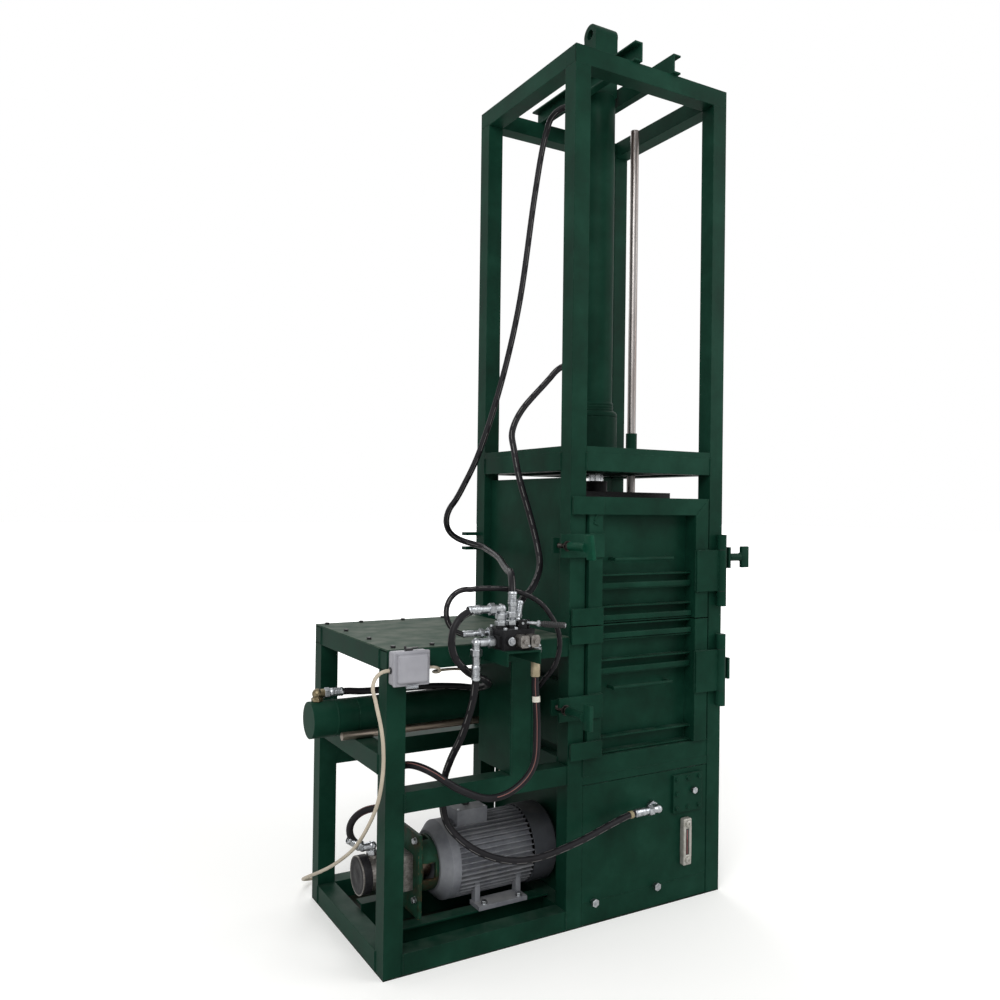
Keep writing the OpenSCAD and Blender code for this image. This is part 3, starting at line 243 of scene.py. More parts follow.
# paper, off-white and tan: matt, a little soiled
paperTape = moulded("paperTape", "#c9c5ba", "#b3aea2", 0.7, 0.8)
tanBand = moulded("tanPaperBand", "#8f8465", "#7a7056", 0.6, 0.8)
# printed scale: flat red
redFloat = moulded("redScaleLine", "#8e2f2b", "#742623", 0.4, 1.0)
# clear plastic with faint scratches
clearLatch, tree, shader = newMaterial("clearPolycarbonate",
                                       {"Roughness": 0.22, "IOR": 1.58, "Transmission Weight": 0.75})
place = addNode(tree, "TexCoord").outputs["Object"]
scratch = addNode(tree, "TexNoise", {"Vector": place, "Scale": patternScale(5), "Detail": 4.0})
tint = addNode(tree, "ValToRGB", {"Fac": scratch}, [(0.35, "#c6cbd2"), (0.65, "#e2e6ea")])
setInputs(tree, shader, {"Base Color": tint})
# dark oil up to a level, greyer glass above it
oilLevel = (0.214, 0.217)
sightGlass, tree, shader = newMaterial("oilBehindGlass", {"Roughness": 0.08, "IOR": 1.5})
place = addNode(tree, "TexCoord").outputs["Object"]
height = addNode(tree, "SeparateXYZ", {0: place}).outputs["Z"]
empty = addNode(tree, "MapRange", {"Value": height, "From Min": oilLevel[0], "From Max": oilLevel[1]})
oil = addNode(tree, "ValToRGB", {"Fac": empty}, [(0.0, "#1c1712"), (1.0, "#2e3334")])
setInputs(tree, shader, {"Base Color": oil})
print("materials made")

finishOf = {
    "table_cover": wornEnamel, "pump": castAluminium, "floor_pan": oilyPan, "ram_rod": hardChrome,
    "ejector_rod": hardChrome, "guide_rods": drawnBar, "pusher_guides": greasyBar, "platen": blackIron,
    "valve_body": blackIron, "spool_caps": castAluminium, "bell_housing": wornPlate,
    "motor_body": motorEnamel, "motor_shaft": wornSteel, "fan_cover": fanEnamel,
}
for nodeName, obj in nodes.items():
    obj.data.materials.clear()
    obj.data.materials.append(finishOf.get(nodeName, greenEnamel))

sharpDegrees = 38


def addObject(name, data):
    made = bpy.data.objects.new(name, data)
    scene.collection.objects.link(made)
    return made


def dress(name, material, fill, body="frame", replaced=()):
    # a piece at the origin, riding on a body, in place of the CAD nodes that it remakes
    bm = bmesh.new()
    fill(bm)
    bmesh.ops.recalc_face_normals(bm, faces=bm.faces)
    mesh = bpy.data.meshes.new(name)
    bm.to_mesh(mesh)
    bm.free()
    mesh.shade_smooth()
    mesh.set_sharp_from_angle(angle=math.radians(sharpDegrees))
    mesh.materials.append(material)
    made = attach(addObject(name, mesh), body)
    if replaced:
        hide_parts(*replaced)
    return made


def smoothRoute(points, steps):
    # the same curve through the points as the CAD hoses follow
    last = len(points) - 1
    out = []
    for i in range(last):
        a, b, c, d = (points[max(i - 1, 0)], points[i], points[i + 1], points[min(i + 2, last)])
        for j in range(steps):
            t = j / steps
            out.append(0.5 * (2 * b + (c - a) * t + (2 * a - 5 * b + 4 * c - d) * t * t
                              + (3 * b - a - 3 * c + d) * t * t * t))
    return out + [points[last]]


def routeLength(route):
    return sum((b - a).length for a, b in zip(route, route[1:]))


def evenly(line, step):
    # the same line with points a step apart
    total = routeLength(line)
    count = max(8, round(total / step))
    out, index, run = [line[0]], 0, 0
    for i in range(1, count):
        goal = total * i / count
        while run + (line[index + 1] - line[index]).length < goal:
            run += (line[index + 1] - line[index]).length
            index += 1
        a, b = line[index], line[index + 1]
        out.append(a.lerp(b, (goal - run) / (b - a).length))
    return out + [line[-1]]


def relaxed(line, radius, held=(2, 2), step=0.012, rounds=5000):
    # opens every bend tighter than the radius; the held points at the ends keep their place
    line = evenly(line, step)
    free = range(held[0], len(line) - held[1])
    for _ in range(rounds):
        for i in range(1, len(line) - 1):
            before, here, after = line[i - 1:i + 2]
            inward = (before + after) / 2 - here
            span = (after - before).length / 2
            allowed = span * span / (2 * radius)
            if inward.length > allowed:
                excess = inward * (1 - allowed / inward.length)
                for j, share in ((i, 0.3), (i - 1, -0.15), (i + 1, -0.15)):
                    if j in free:
                        line[j] = line[j] + excess * share
    return line


def tubeCurve(name, route, diameter, material):
    curve = bpy.data.curves.new(name, "CURVE")
    curve.dimensions = "3D"
    curve.bevel_depth = diameter / 2
    curve.bevel_resolution = 6
    curve.use_fill_caps = True
    spline = curve.splines.new("POLY")
    spline.points.add(len(route) - 1)
    for point, place in zip(spline.points, route):
        point.co = (*place, 1)
    spline.use_smooth = True
    curve.materials.append(material)
    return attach(addObject(name, curve), "frame")


# Routes repeat the points of the CAD source, in millimetres
def route(*points):
    return smoothRoute([Vector(p) * mm for p in points], 8)


bendDiameters = 4.1
hoses = {
    "head_hose": dict(diameter=0.022, points=route(
        (225.7, 0, 2830), (214, 0, 2830), (196, 0, 2830), (160, 22, 2825), (132, 42, 2790),
        (110, 66, 2700), (86, 90, 2491), (55, 130, 2126), (6, 170, 1830), (-61, 210, 1570),
        (-119, 244, 1421), (-160, 272, 1330), (-150, 292, 1268), (-100, 298, 1234), (-60, 280, 1226),
        (-48, 200, 1210), (-90, 20, 1185), (-190, -200, 1166), (-256, -350, 1152), (-276, -390, 1132),
        (-279, -397, 1098), (-279, -397, 1078), (-279, -397, 1066.3))),
    "foot_hose": dict(diameter=0.022, held=(2, 1), points=route(
        (232, 0, 1800.3), (232, 0, 1812), (232, 0, 1828), (222, -12, 1860), (195, -28, 1876),
        (150, -40, 1870), (100, -42, 1838), (58, -40, 1796), (-37, -46, 1699), (-85, -60, 1620),
        (-92, -85, 1554), (-86, -115, 1452), (-60, -140, 1334), (-44, -165, 1230), (-60, -205, 1165),
        (-130, -280, 1112), (-205, -342, 1080), (-240, -366, 1062), (-250, -372, 1042),
        (-250, -372, 1031), (-250, -372, 1020.3))),
    "cap_hose": dict(diameter=0.022, points=route(
        (-388.3, -397, 1058), (-400, -397, 1058), (-416, -397, 1058), (-450, -400, 1050),
        (-478, -404, 1022), (-488, -405, 980), (-466, -396, 924), (-410, -366, 872), (-330, -318, 836),
        (-268, -235, 800), (-255, -140, 772), (-285, -55, 764), (-370, -12, 764), (-480, -2, 764),
        (-590, 0, 766), (-640, 0, 771), (-672, 0, 772), (-688, 0, 772), (-699.7, 0, 772))),
    "rod_hose": dict(diameter=0.016, points=route(
        (-392.3, -368, 985), (-404, -368, 985), (-418, -368, 985), (-452, -367, 994), (-476, -366, 1018),
        (-488, -365, 1056), (-470, -362, 1096), (-420, -358, 1112), (-340, -360, 1116),
        (-250, -364, 1106), (-164, -372, 1066), (-105, -372, 994), (-86, -366, 930), (-92, -350, 866),
        (-104, -305, 812), (-100, -240, 756), (-84, -185, 704), (-80, -146, 692), (-80, -130, 692),
        (-80, -118.3, 692))),
    "return_hose": dict(diameter=0.022, points=route(
        (-402, -400, 892.7), (-402, -400, 880), (-402, -400, 864), (-400, -380, 790), (-400, -320, 680),
        (-405, -255, 590), (-414, -228, 520), (-418, -228, 440), (-402, -248, 375), (-342, -300, 316),
        (-250, -338, 280), (-139, -352, 274), (1, -360, 300), (120, -358, 330), (200, -354, 347),
        (242, -353, 350), (258, -353, 350), (269.7, -353, 350))),
    "pressure_hose": dict(diameter=0.022, held=(2, 1), finish=agedRubber, points=route(
        (-206, -415, 849.7), (-206, -415, 838), (-206, -415, 820), (-202, -422, 700), (-214, -426, 590),
        (-270, -416, 525), (-350, -400, 502), (-439, -380, 535), (-520, -350, 590), (-562, -300, 606),
        (-570, -240, 575), (-568, -195, 500), (-582, -165, 445), (-620, -130, 430), (-655, -100, 412),
        (-670, -84, 375), (-667, -80, 332), (-644, -80, 300), (-630, -80, 300), (-618.3, -80, 300))),
    "motor_lead": dict(diameter=0.009, finish=leadPvc, points=route(
        (-531, -333, 890), (-522, -333, 890), (-508, -333, 890), (-499, -333, 890), (-482, -325, 880),
        (-474, -300, 868), (-468, -262, 860), (-455, -230, 856), (-400, -170, 846), (-310, -110, 832),
        (-215, -80, 812), (-130, -110, 770), (-112, -170, 700), (-118, -190, 620), (-132, -170, 540),
        (-175, -120, 470), (-235, -90, 440), (-260, -80, 412), (-260, -80, 394), (-260, -80, 378.3))),
}
for hoseName, hose in hoses.items():
    # where only the end point is held, the sleeve there turns with the hose
    line = hose["line"] = relaxed(hose["points"], bendDiameters * hose["diameter"], hose.get("held", (2, 2)))
    made = tubeCurve(hoseName + "Tube", line, hose["diameter"], hose.get("finish", hoseRubber))
    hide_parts(hoseName)

# The mains lead runs down, behind the back rail, and into a tied coil
mains = {"diameter": 0.011, "coil": Vector((0.250, 0.440, 0.0065)), "coilRadius": 0.065, "turns": 5}


def coilPoints(centre, radius, turns, pitch, start, perTurn=28, crossFrom=0.6, layer=0.87):
    # turns lie in two layers, three wide below and the rest above, and cross over late in each turn
    out = []
    lanes = [(pitch, 0), (0, 0), (-pitch, 0), (-pitch / 2, layer * pitch), (pitch / 2, layer * pitch)]
    for step in range(turns * perTurn + 1):
        lane = min(step // perTurn, turns - 1)
        part = (step % perTurn) / perTurn if step < turns * perTurn else 1
        nextLane = lanes[min(lane + 1, turns - 1)]
        ease = max(0, (part - crossFrom) / (1 - crossFrom))
        ease = ease * ease * (3 - 2 * ease)
        reach = radius + lanes[lane][0] * (1 - ease) + nextLane[0] * ease
        height = lanes[lane][1] * (1 - ease) + nextLane[1] * ease
        angle = start + 2 * math.pi * step / perTurn
        out.append(centre + Vector((reach * math.cos(angle), reach * math.sin(angle), height)))
    return out


coilLine = coilPoints(mains["coil"], mains["coilRadius"], mains["turns"], mains["diameter"], -math.pi / 2)
leadLine = route(
    (-643, -333, 890), (-652, -333, 890), (-668, -333, 890), (-678, -333, 890), (-694, -338, 874),
    (-698, -343, 846), (-692, -352, 800), (-682, -364, 740), (-676, -368, 680), (-674, -362, 610),
    (-673, -330, 525), (-672, -262, 437), (-672, -150, 332), (-672, 17, 225), (-672, 157, 150),
    (-672, 255, 102), (-666, 345, 58), (-640, 410, 26), (-585, 438, 10), (-500, 432, 7), (-350, 412, 7),
    (-150, 390, 7), (30, 368, 7), (130, 366, 7), (180, 366, 7), (204.5, 366, 7))
leadLine = relaxed(leadLine, bendDiameters * mains["diameter"])
tail = route((250, 369.5, 16.07), (268, 370.2, 17.5), (288, 373, 23), (302, 375, 26.6), (311, 375, 27))
leadLine = leadLine + route((204.5, 366, 7), (228, 364.6, 6.7), (250, 364, 6.5))[1:-1] + coilLine + tail[1:]
mainsTube = tubeCurve("mainsLeadTube", leadLine, mains["diameter"], leadPvc)
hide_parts("mains_lead", "mains_coil")
print("hoses and leads laid")


def turnTo(place, axis):
    # moves a shape made along +Z so that it starts at place and points along axis
    return Matrix.Translation(Vector(place)) @ Vector(axis).to_track_quat("Z", "Y").to_matrix().to_4x4()


def joinShape(bm, shape, matrix):
    # a finished shape goes to its place and joins the piece
    shape.transform(matrix)
    bmesh.ops.recalc_face_normals(shape, faces=shape.faces[:])
    carrier = bpy.data.meshes.new("carrier")
    shape.to_mesh(carrier)
    shape.free()
    bm.from_mesh(carrier)
    bpy.data.meshes.remove(carrier)


def addTurned(bm, profile, place, axis, steps=28, matrix=Matrix()):
    # a shape of revolution from (height, radius) pairs
    shape = bmesh.new()
    verts = [shape.verts.new((radius, 0, height)) for height, radius in profile]
    edges = [shape.edges.new(pair) for pair in zip(verts, verts[1:])]
    bmesh.ops.spin(shape, geom=verts + edges, cent=(0, 0, 0), axis=(0, 0, 1), angle=2 * math.pi, steps=steps,
                   use_merge=True)
    bmesh.ops.remove_doubles(shape, verts=shape.verts[:], dist=1e-6)
    joinShape(bm, shape, matrix @ turnTo(place, axis))


def bevelEdges(shape, edges, offset, segments):
    bmesh.ops.bevel(shape, geom=edges, offset=offset, offset_type="OFFSET", affect="EDGES", segments=segments,
                    profile=0.5, material=-1)


def addBox(bm, low, high, rounding, segments=2, matrix=Matrix()):
    low, high = Vector(low), Vector(high)
    shape = bmesh.new()
    bmesh.ops.create_cube(shape, size=1)
    bmesh.ops.scale(shape, vec=high - low, verts=shape.verts[:])
    bevelEdges(shape, shape.edges[:], rounding, segments)
    joinShape(bm, shape, matrix @ Matrix.Translation((low + high) / 2))


def addHex(bm, place, axis, flats, height, matrix=Matrix()):
    # a hexagon head or nut with chamfered rims
    shape = bmesh.new()
    corner = flats / 2 / math.cos(math.pi / 6)
    bmesh.ops.create_cone(shape, cap_ends=True, segments=6, radius1=corner, radius2=corner, depth=height)
    rims = [e for e in shape.edges if abs(e.verts[0].co.z - e.verts[1].co.z) < 1e-9]
    bevelEdges(shape, rims, flats * 0.05, 1)
    bmesh.ops.translate(shape, vec=(0, 0, height / 2), verts=shape.verts[:])
    joinShape(bm, shape, matrix @ turnTo(place, axis))


def addBolt(bm, place, axis, flats, height):
    # washer and hexagon head
    washer, rim = flats * 0.12, flats * 0.62
    profile = [(0, 0), (0, rim), (washer * 0.8, rim), (washer, flats * 0.58), (washer, 0)]
    addTurned(bm, profile, place, axis, 24)
    addHex(bm, Vector(place) + Vector(axis) * washer, axis, flats, height)


def addScrew(bm, place, axis, radius, height):
    # round head with a socket
    addTurned(bm, [(0, radius), (height * 0.85, radius), (height, radius * 0.9), (height, radius * 0.55),
                   (height * 0.4, radius * 0.5), (height * 0.4, 0)], place, axis, 20)


def addStub(bm, start, axis, length, radius):
    addTurned(bm, [(0, 0), (0, radius), (length, radius), (length, 0)], start, axis, 24)


def addBall(bm, place, axis, radius):
    angles = [math.pi * i / 12 for i in range(13)]
    addTurned(bm, [(-radius * math.cos(a), radius * math.sin(a)) for a in angles], place, axis, 24)


# Crimped sleeve: a plain collar, then pressed ridges, then a rounded mouth
crimp = {"length": 0.042, "grow": 1.26, "ridges": 5, "depth": 0.0011, "collarShare": 0.2, "ridgeShare": 0.62}


def addCrimp(bm, start, axis, hoseRadius):
    length, radius = crimp["length"], hoseRadius * crimp["grow"]
    pressed = radius - crimp["depth"]
    pitch = length * crimp["ridgeShare"] / crimp["ridges"]
    height = length * crimp["collarShare"]
    profile = [(-0.002, 0), (-0.002, radius * 0.9), (0, radius), (height, radius)]
    for _ in range(crimp["ridges"]):
        profile += [(height + pitch * 0.25, pressed), (height + pitch * 0.75, pressed),
                    (height + pitch, radius)]
        height += pitch
    profile += [(length - 0.003, radius), (length, radius - 0.002), (length, hoseRadius * 0.9)]
    addTurned(bm, profile, start, axis)


def addElbow(bm, start, axisA, lengthA, axisB, lengthB, radius, heel=1.18):
    # two limbs and a round heel
    corner = Vector(start) + Vector(axisA) * lengthA
    addStub(bm, start, axisA, lengthA, radius)
    addStub(bm, corner, axisB, lengthB, radius)
    addBall(bm, corner, axisB, radius * heel)


def addAngled(bm, hose):
    # a sleeve along the hose's last stretch, on a ball where the adaptor turns
    end = hose["line"][-1]
    along = (hose["line"][-3] - end).normalized()
    addBall(bm, end, along, .0132)
    addHex(bm, end + along * .006, along, .028, .012)
    addCrimp(bm, end + along * .016, along, hose["diameter"] / 2)


def addRun(bm, place, axis, *parts):
    # fittings in line, in mm: each shape, how far along it starts, and its own sizes
    for shape, offset, *sizes in parts:
        spot = (Vector(place) + Vector(axis) * offset) * mm
        shape(bm, spot, axis, *(size * mm for size in sizes))


across, right, front = (-1, 0, 0), (1, 0, 0), (0, -1, 0)
up, down = (0, 0, 1), (0, 0, -1)


def zincFittings(bm):
    # main cylinder, head end and foot end
    addRun(bm, (262, 0, 2830), across, (addStub, 0, 34, 11), (addHex, 4, 32, 14), (addCrimp, 34, 11))
    addElbow(bm, (.262, 0, 1.764), across, .030, up, .036, .0115)
    addRun(bm, (258, 0, 1764), across, (addHex, 0, 30, 12))
    addRun(bm, (232, 0, 1778), up, (addHex, 0, 30, 14), (addCrimp, 22, 11))
    # valve top: straight adaptor on the right
    addRun(bm, (-279, -397, 1008), up, (addHex, 0, 34, 15), (addStub, 12, 46, 10.5), (addHex, 22, 32, 18),
           (addStub, 40, 16, 12), (addCrimp, 58, 11))
    # valve top: adaptor and elbow on the left
    addRun(bm, (-317, -397, 1008), up, (addHex, 0, 34, 14), (addHex, 20, 32, 16))
    addElbow(bm, (-.317, -.397, 1.018), up, .040, across, .030, .0125)
    addRun(bm, (-340, -397, 1058), across, (addHex, 0, 32, 20), (addStub, 20, 28, 11.5), (addCrimp, 48, 11))
    # valve rear and second section
    addRun(bm, (-250, -372, 1000), up, (addHex, 0, 30, 10), (addStub, 8, 14, 11.5))
    addAngled(bm, hoses["foot_hose"])
    addRun(bm, (-334, -368, 985), across, (addHex, 0, 27, 14), (addStub, 14, 44, 9), (addHex, 28, 25, 14),
           (addCrimp, 56, 8))
    # low elbows on both sides of the valve
    addElbow(bm, (-.342, -.400, .962), across, .060, down, .050, .0125)
    addRun(bm, (-345, -400, 962), across, (addHex, 0, 32, 18))
    addRun(bm, (-402, -400, 944), down, (addHex, 0, 32, 20), (addStub, 20, 32, 11.5), (addCrimp, 49, 11))
    addElbow(bm, (-.222, -.415, .962), right, .016, down, .050, .0125)
    addRun(bm, (-206, -415, 940), down, (addHex, 0, 30, 18), (addStub, 18, 30, 11.5))
    # ejector, both ends
    addRun(bm, (-722, 0, 772), right, (addHex, 0, 30, 16), (addStub, 14, 10, 11.5), (addCrimp, 20, 11))
    addRun(bm, (-80, -55, 692), front, (addHex, 0, 28, 16), (addStub, 5, 58, 9), (addCrimp, 57, 8))
    # pump outlet
    addElbow(bm, (-.588, -.080, .270), up, .030, across, .030, .0125)
    addRun(bm, (-588, -80, 274), up, (addHex, 0, 30, 14))
    addAngled(bm, hoses["pressure_hose"])


def ejectorElbow(bm):
    addElbow(bm, (-.744, 0, .745), up, .027, right, .022, .0135)
    addHex(bm, (-.744, 0, .748), up, .032, .012)


def traySleeve(bm):
    # plain sleeve under the valve's tray
    profile = [(0, .009), (0, .0130), (.002, .0139), (.050, .0139), (.052, .0128), (.052, .010)]
    addTurned(bm, profile, (-.206, -.415, .903), down)


dress("portFittings", zincPlate, zincFittings, replaced=["hose_fittings"])
dress("ejectorElbow", yellowZinc, ejectorElbow)
dress("traySleeve", tanSleeve, traySleeve)


def tankHardware(bm):
    # two drain plugs, the service plate's plug, and the return hose's elbow
    for x in (92, 353):
        addRun(bm, (x, -313, 74), front, (addStub, 0, 10, 9), (addHex, 9, 24, 11))
    addRun(bm, (512, -323, 380), front, (addStub, 0, 8, 8.5), (addHex, 5, 21, 10))
    addElbow(bm, (.330, -.313, .350), front, .040, across, .026, .0125)
    addRun(bm, (330, -315, 350), front, (addHex, 0, 34, 16))
    addRun(bm, (306, -353, 350), across, (addHex, 0, 32, 20), (addStub, 16, 18, 11.5), (addCrimp, 34, 11))


dress("tankHardware", zincPlate, tankHardware, replaced=["tank_fittings"])

smallBolt = (.013, .005)


def coverBolts(bm):
    leftRow = product((-.615,), (-.285, -.1, .1, .285))
    for x, y in (*leftRow, *product((-.490, -.330, -.170), (-.285, .285))):
        addBolt(bm, (x, y, .946), up, *smallBolt)


def serviceBolts(bm):
    # painted over with the plate
    for i, j in product((-1, 0, 1), repeat=2):
        if i or j:
            addBolt(bm, (.490 + i * .05, -.323, .373 + j * .05), front, *smallBolt)


dress("serviceBolts", greenEnamel, serviceBolts)
dress("coverBolts", blackOxide, coverBolts, replaced=["panel_bolts"])
print("fittings and bolts made")

# Junction box: rounded tray, lid with a raised face, clip on top, clear latch below
junction = {"x0": -.642, "x1": -.532, "z0": .848, "z1": .944, "wall": -.315, "seam": -.349, "face": -.371}


def junctionShell(bm):
    x0, x1, z0, z1, wall, seam, face = junction.values()
    addBox(bm, (x0, seam, z0), (x1, wall, z1), .006, 4)
    addBox(bm, (x0 - .002, seam - .010, z0 - .002), (x1 + .002, seam + .001, z1 + .002), .0045, 4)
    addBox(bm, (x0 + .008, face, z0 + .008), (x1 - .008, seam - .006, z1 - .008), .007, 5)
    for x, z in product((x0 + .006, x1 - .006), (z0 + .006, z1 - .006)):
        addScrew(bm, (x, seam - .010, z), front, .0035, .0012)


dress("junctionShell", boxPlastic, junctionShell, replaced=["junction_box", "junction_lid"])


def junctionGlands(bm):
    # rubber sleeves round both leads, and the black clip with its tail on top of the box
    sleeve = [(0, .0050), (0, .0095), (.0025, .0098), (.0045, .0088), (.0050, .0070), (.0050, .0045)]
    addTurned(bm, sleeve, (-.642, -.333, .890), across)
    addTurned(bm, sleeve, (-.532, -.333, .890), right)
    addBox(bm, (-.604, -.350, .9445), (-.580, -.338, .953), .002)
    addBox(bm, (-.606, -.348, .950), (-.600, -.340, .960), .002)
    addBox(bm, (-.582, -.347, .950), (-.562, -.341, .954), .0015)


dress("junctionGlands", gripPlastic, junctionGlands)


def junctionLatch(bm):
    addBox(bm, (-.604, -.362, .838), (-.566, -.352, .852), .003, 3)
    addBox(bm, (-.600, -.366, .841), (-.570, -.361, .848), .002)


dress("junctionLatch", clearLatch, junctionLatch)


# Valve: socket screws and port plug on the black body, screws in the spool caps
def valveScrews(bm):
    for x, y in ((-.326, -.437), (-.290, -.437), (-.326, -.357), (-.297, -.357)):
        addScrew(bm, (x, y, 1.000), up, .0058, .0065)
    addTurned(bm, [(0, .0125), (.0015, .0125), (.002, .0118), (.002, 0)], (-.315, -.457, .968), front, 24)
    addHex(bm, (-.315, -.459, .968), front, .017, .006)
    for x in (-.283, -.247):
        addScrew(bm, (x + .0095, -.485, .957), front, .0034, .0025)


dress("valveScrews", zincPlate, valveScrews)

# Lever: flat link on a pin, threaded rod, ribbed grip with a bright end
lever = {"pivot": Vector((-.252, -.425, 1.016)), "axis": Vector((.6, -.8, 0)), "pin": Vector((.8, .6, 0)),
         "rod": .052, "grip": .076, "gripRadius": .0095, "ribs": 9}


def leverRod(bm):
    pivot, axis, pin = lever["pivot"], lever["axis"], lever["pin"]
    addTurned(bm, [(0, 0), (0, .004), (.030, .004), (.030, 0)], pivot - pin * .015, pin, 20)
    addHex(bm, pivot + pin * .0066, pin, .0115, .005)
    boss = [(0, 0), (0, .0095), (.001, .0100), (.012, .0100), (.013, .0095), (.013, 0)]
    addTurned(bm, boss, pivot - pin * .0065, pin)
    addStub(bm, pivot, axis, lever["rod"] + .004, .0058)
    addHex(bm, pivot + axis * .040, axis, .016, .009)
    addTurned(bm, [(0, 0), (0, .0055), (.0008, .0055), (.0012, .0048), (.0012, 0)],
              pivot + axis * (lever["rod"] + lever["grip"] - .0004), axis, 20)


def leverGrip(bm):
    radius, length = lever["gripRadius"], lever["grip"]
    profile = [(0, 0), (0, radius * .8), (.003, radius * .9)]
    pitch = (length - .016) / lever["ribs"]
    for i in range(lever["ribs"]):
        at = .006 + i * pitch
        profile += [(at, radius * .86), (at + pitch * .2, radius), (at + pitch * .75, radius),
                    (at + pitch * .95, radius * .86)]
    profile += [(length - .006, radius), (length - .002, radius * .92), (length, radius * .6), (length, 0)]
    addTurned(bm, profile, lever["pivot"] + lever["axis"] * lever["rod"], lever["axis"])


dress("leverRod", zincPlate, leverRod, "lever", replaced=["valve_lever"])
dress("leverGrip", gripPlastic, leverGrip, "lever")

# Clamps: rounded T-bar on a sleeve, with an oiled thread, washer and nut under it
clamp = {"bar": (.014, .078, .036), "out": .015, "thread": .008, "sleeve": .014, "pitch": .002}
clamps = {
    # the upper clamp alone takes the lighter enamel, with painted light in its colour
    "clamp_upper": dict(place=(-.040, -.335, 1.238), turn=("X", 90, 8), tip=.055, sleeve=.090,
                        finish=upperClampLitEnamel),
    "clamp_lower": dict(place=(-.040, -.335, .716), turn=("X", 90, 0), tip=.055, sleeve=.090),
    "clamp_side": dict(place=(.691, -.288, 1.187), turn=("Y", 90, 90), tip=.049, sleeve=.060),
}


def clampBar(place, length):
    def fill(bm):
        wide, tall, deep = clamp["bar"]
        low, radius = clamp["out"], clamp["sleeve"]
        top = low + length
        sleeve = [(low, 0), (low, radius - .0015), (low + .0015, radius), (top, radius), (top, 0)]
        addTurned(bm, sleeve, (0, 0, 0), up, 32, place)
        fillet = [(top - .006, radius), (top - .003, radius + .0022), (top, radius + .003), (top + .001, 0)]
        addTurned(bm, fillet, (0, 0, 0), up, 24, place)
        addBox(bm, (-wide / 2, -tall / 2, top), (wide / 2, tall / 2, top + deep), .0022, 3, place)
    return fill


def clampThread(place, tip):
    def fill(bm):
        radius, pitch, out = clamp["thread"], clamp["pitch"], clamp["out"]
        profile = [(-tip, 0)]
        for i in range(int((tip + out) / pitch)):
            at = -tip + i * pitch
            profile += [(at, radius - .0011), (at + pitch / 2, radius)]
        profile += [(out + .001, radius - .001), (out + .001, 0)]
        addTurned(bm, profile, (0, 0, 0), up, 24, place)
        washer = [(.0003, .006), (.0003, .0165), (.0028, .0165), (.0032, .0160), (.0032, .006)]
        addTurned(bm, washer, (0, 0, 0), up, 28, place)
        addHex(bm, (0, 0, .0034), up, .026, .0112, place)
    return fill


for clampName, spec in clamps.items():
    around, angle, tilt = spec["turn"]
    place = (Matrix.Translation(spec["place"]) @ Matrix.Rotation(math.radians(angle), 4, around)
             @ Matrix.Rotation(math.radians(tilt), 4, "Z"))
    dress(clampName + "Bar", spec.get("finish", greenEnamel),
          clampBar(place, spec["sleeve"]), clampName, [clampName])
    dress(clampName + "Thread", threadSteel, clampThread(place, spec["tip"]), clampName)
print("valve, lever and clamps made")

# Power pack: black pump cover, bolts of plate and feet, screws and gland of the terminal box
motor = {"y": -.080, "z": .216}


def pumpCover(bm):
    y, z = motor["y"], motor["z"]
    profile = [(0, .050), (0, .0593), (.026, .0593), (.0298, .0565), (.0308, .052), (.0308, .040),
               (.0302, .038), (.0302, .016), (.0308, .014), (.0308, 0)]
    addTurned(bm, profile, (-.606, y, z), across, 40)
    for i in range(4):
        angle = math.radians(45 + 90 * i)
        addScrew(bm, (-.6363, y + .046 * math.cos(angle), z + .046 * math.sin(angle)), across, .0050, .0005)


dress("pumpCover", blackIron, pumpCover)


def powerBolts(bm):
    # coupling plate, motor feet, pump flange, terminal box
    y, z = motor["y"], motor["z"]
    for dy, dz in product((-.078, .078), (-.078, .104)):
        addBolt(bm, (-.474, y + dy, z + dz), across, .017, .009)
    for footX, footY in product((-.255, -.127), (-.206, .046)):
        addBolt(bm, (footX, footY, .098), up, .017, .009)
    for dy, dz in product((-.046, .046), (-.042, .042)):
        addBolt(bm, (-.520, y + dy, z + dz), across, .013, .008)
    for boxX, boxY in product((-.308, -.212), (-.123, -.037)):
        addScrew(bm, (boxX, boxY, .378), up, .0045, .0030)


dress("powerBolts", zincPlate, powerBolts)


def motorGland(bm):
    addHex(bm, (-.260, motor["y"], .378), up, .022, .008)
    cone = [(0, .0050), (0, .0100), (.008, .0100), (.013, .0075), (.014, .0065), (.014, .0048)]
    addTurned(bm, cone, (-.260, motor["y"], .386), up)


dress("motorGland", gripPlastic, motorGland)


# Level gauge: rounded frame with two screws, oil behind glass and a red line
def gaugeFrame(bm):
    for z in (.125, .250):
        addBox(bm, (.464, -.335, z), (.500, -.313, z + .036), .0045, 4)
    for x in (.464, .489):
        addBox(bm, (x, -.3348, .152), (x + .011, -.313, .259), .0028, 3)
    addBox(bm, (.468, -.327, .150), (.496, -.3132, .262), .002)
    screw = [(0, .0110), (.004, .0110), (.0055, .0095), (.006, .0070), (.006, .0040), (.003, .0038),
             (.003, 0)]
    for z in (.143, .268):
        addTurned(bm, screw, (.482, -.335, z), front)


dress("gaugeFrame", gaugeAluminium, gaugeFrame, replaced=["level_gauge"])
dress("gaugeGlass", sightGlass,
      lambda bm: addBox(bm, (.4745, -.3325, .159), (.4895, -.326, .252), .0015))
dress("gaugeLine", redFloat,
      lambda bm: addBox(bm, (.4795, -.3333, .164), (.4815, -.332, .247), .0004))


# Paper bands on two hoses, rings at the foot of the main cylinder
def addBand(bm, place, axis, length, radius):
    addTurned(bm, [(0, radius - .001), (0, radius), (length, radius), (length, radius - .001)], place, axis)


dress("pressureTape", paperTape,
      lambda bm: addBand(bm, (-.2043, -.4176, .792), (.03, -.06, -1), .017, .0121))
dress("returnBand", tanBand,
      lambda bm: addBand(bm, (.208, -.3538, .3482), (1, .02, .06), .013, .0119))


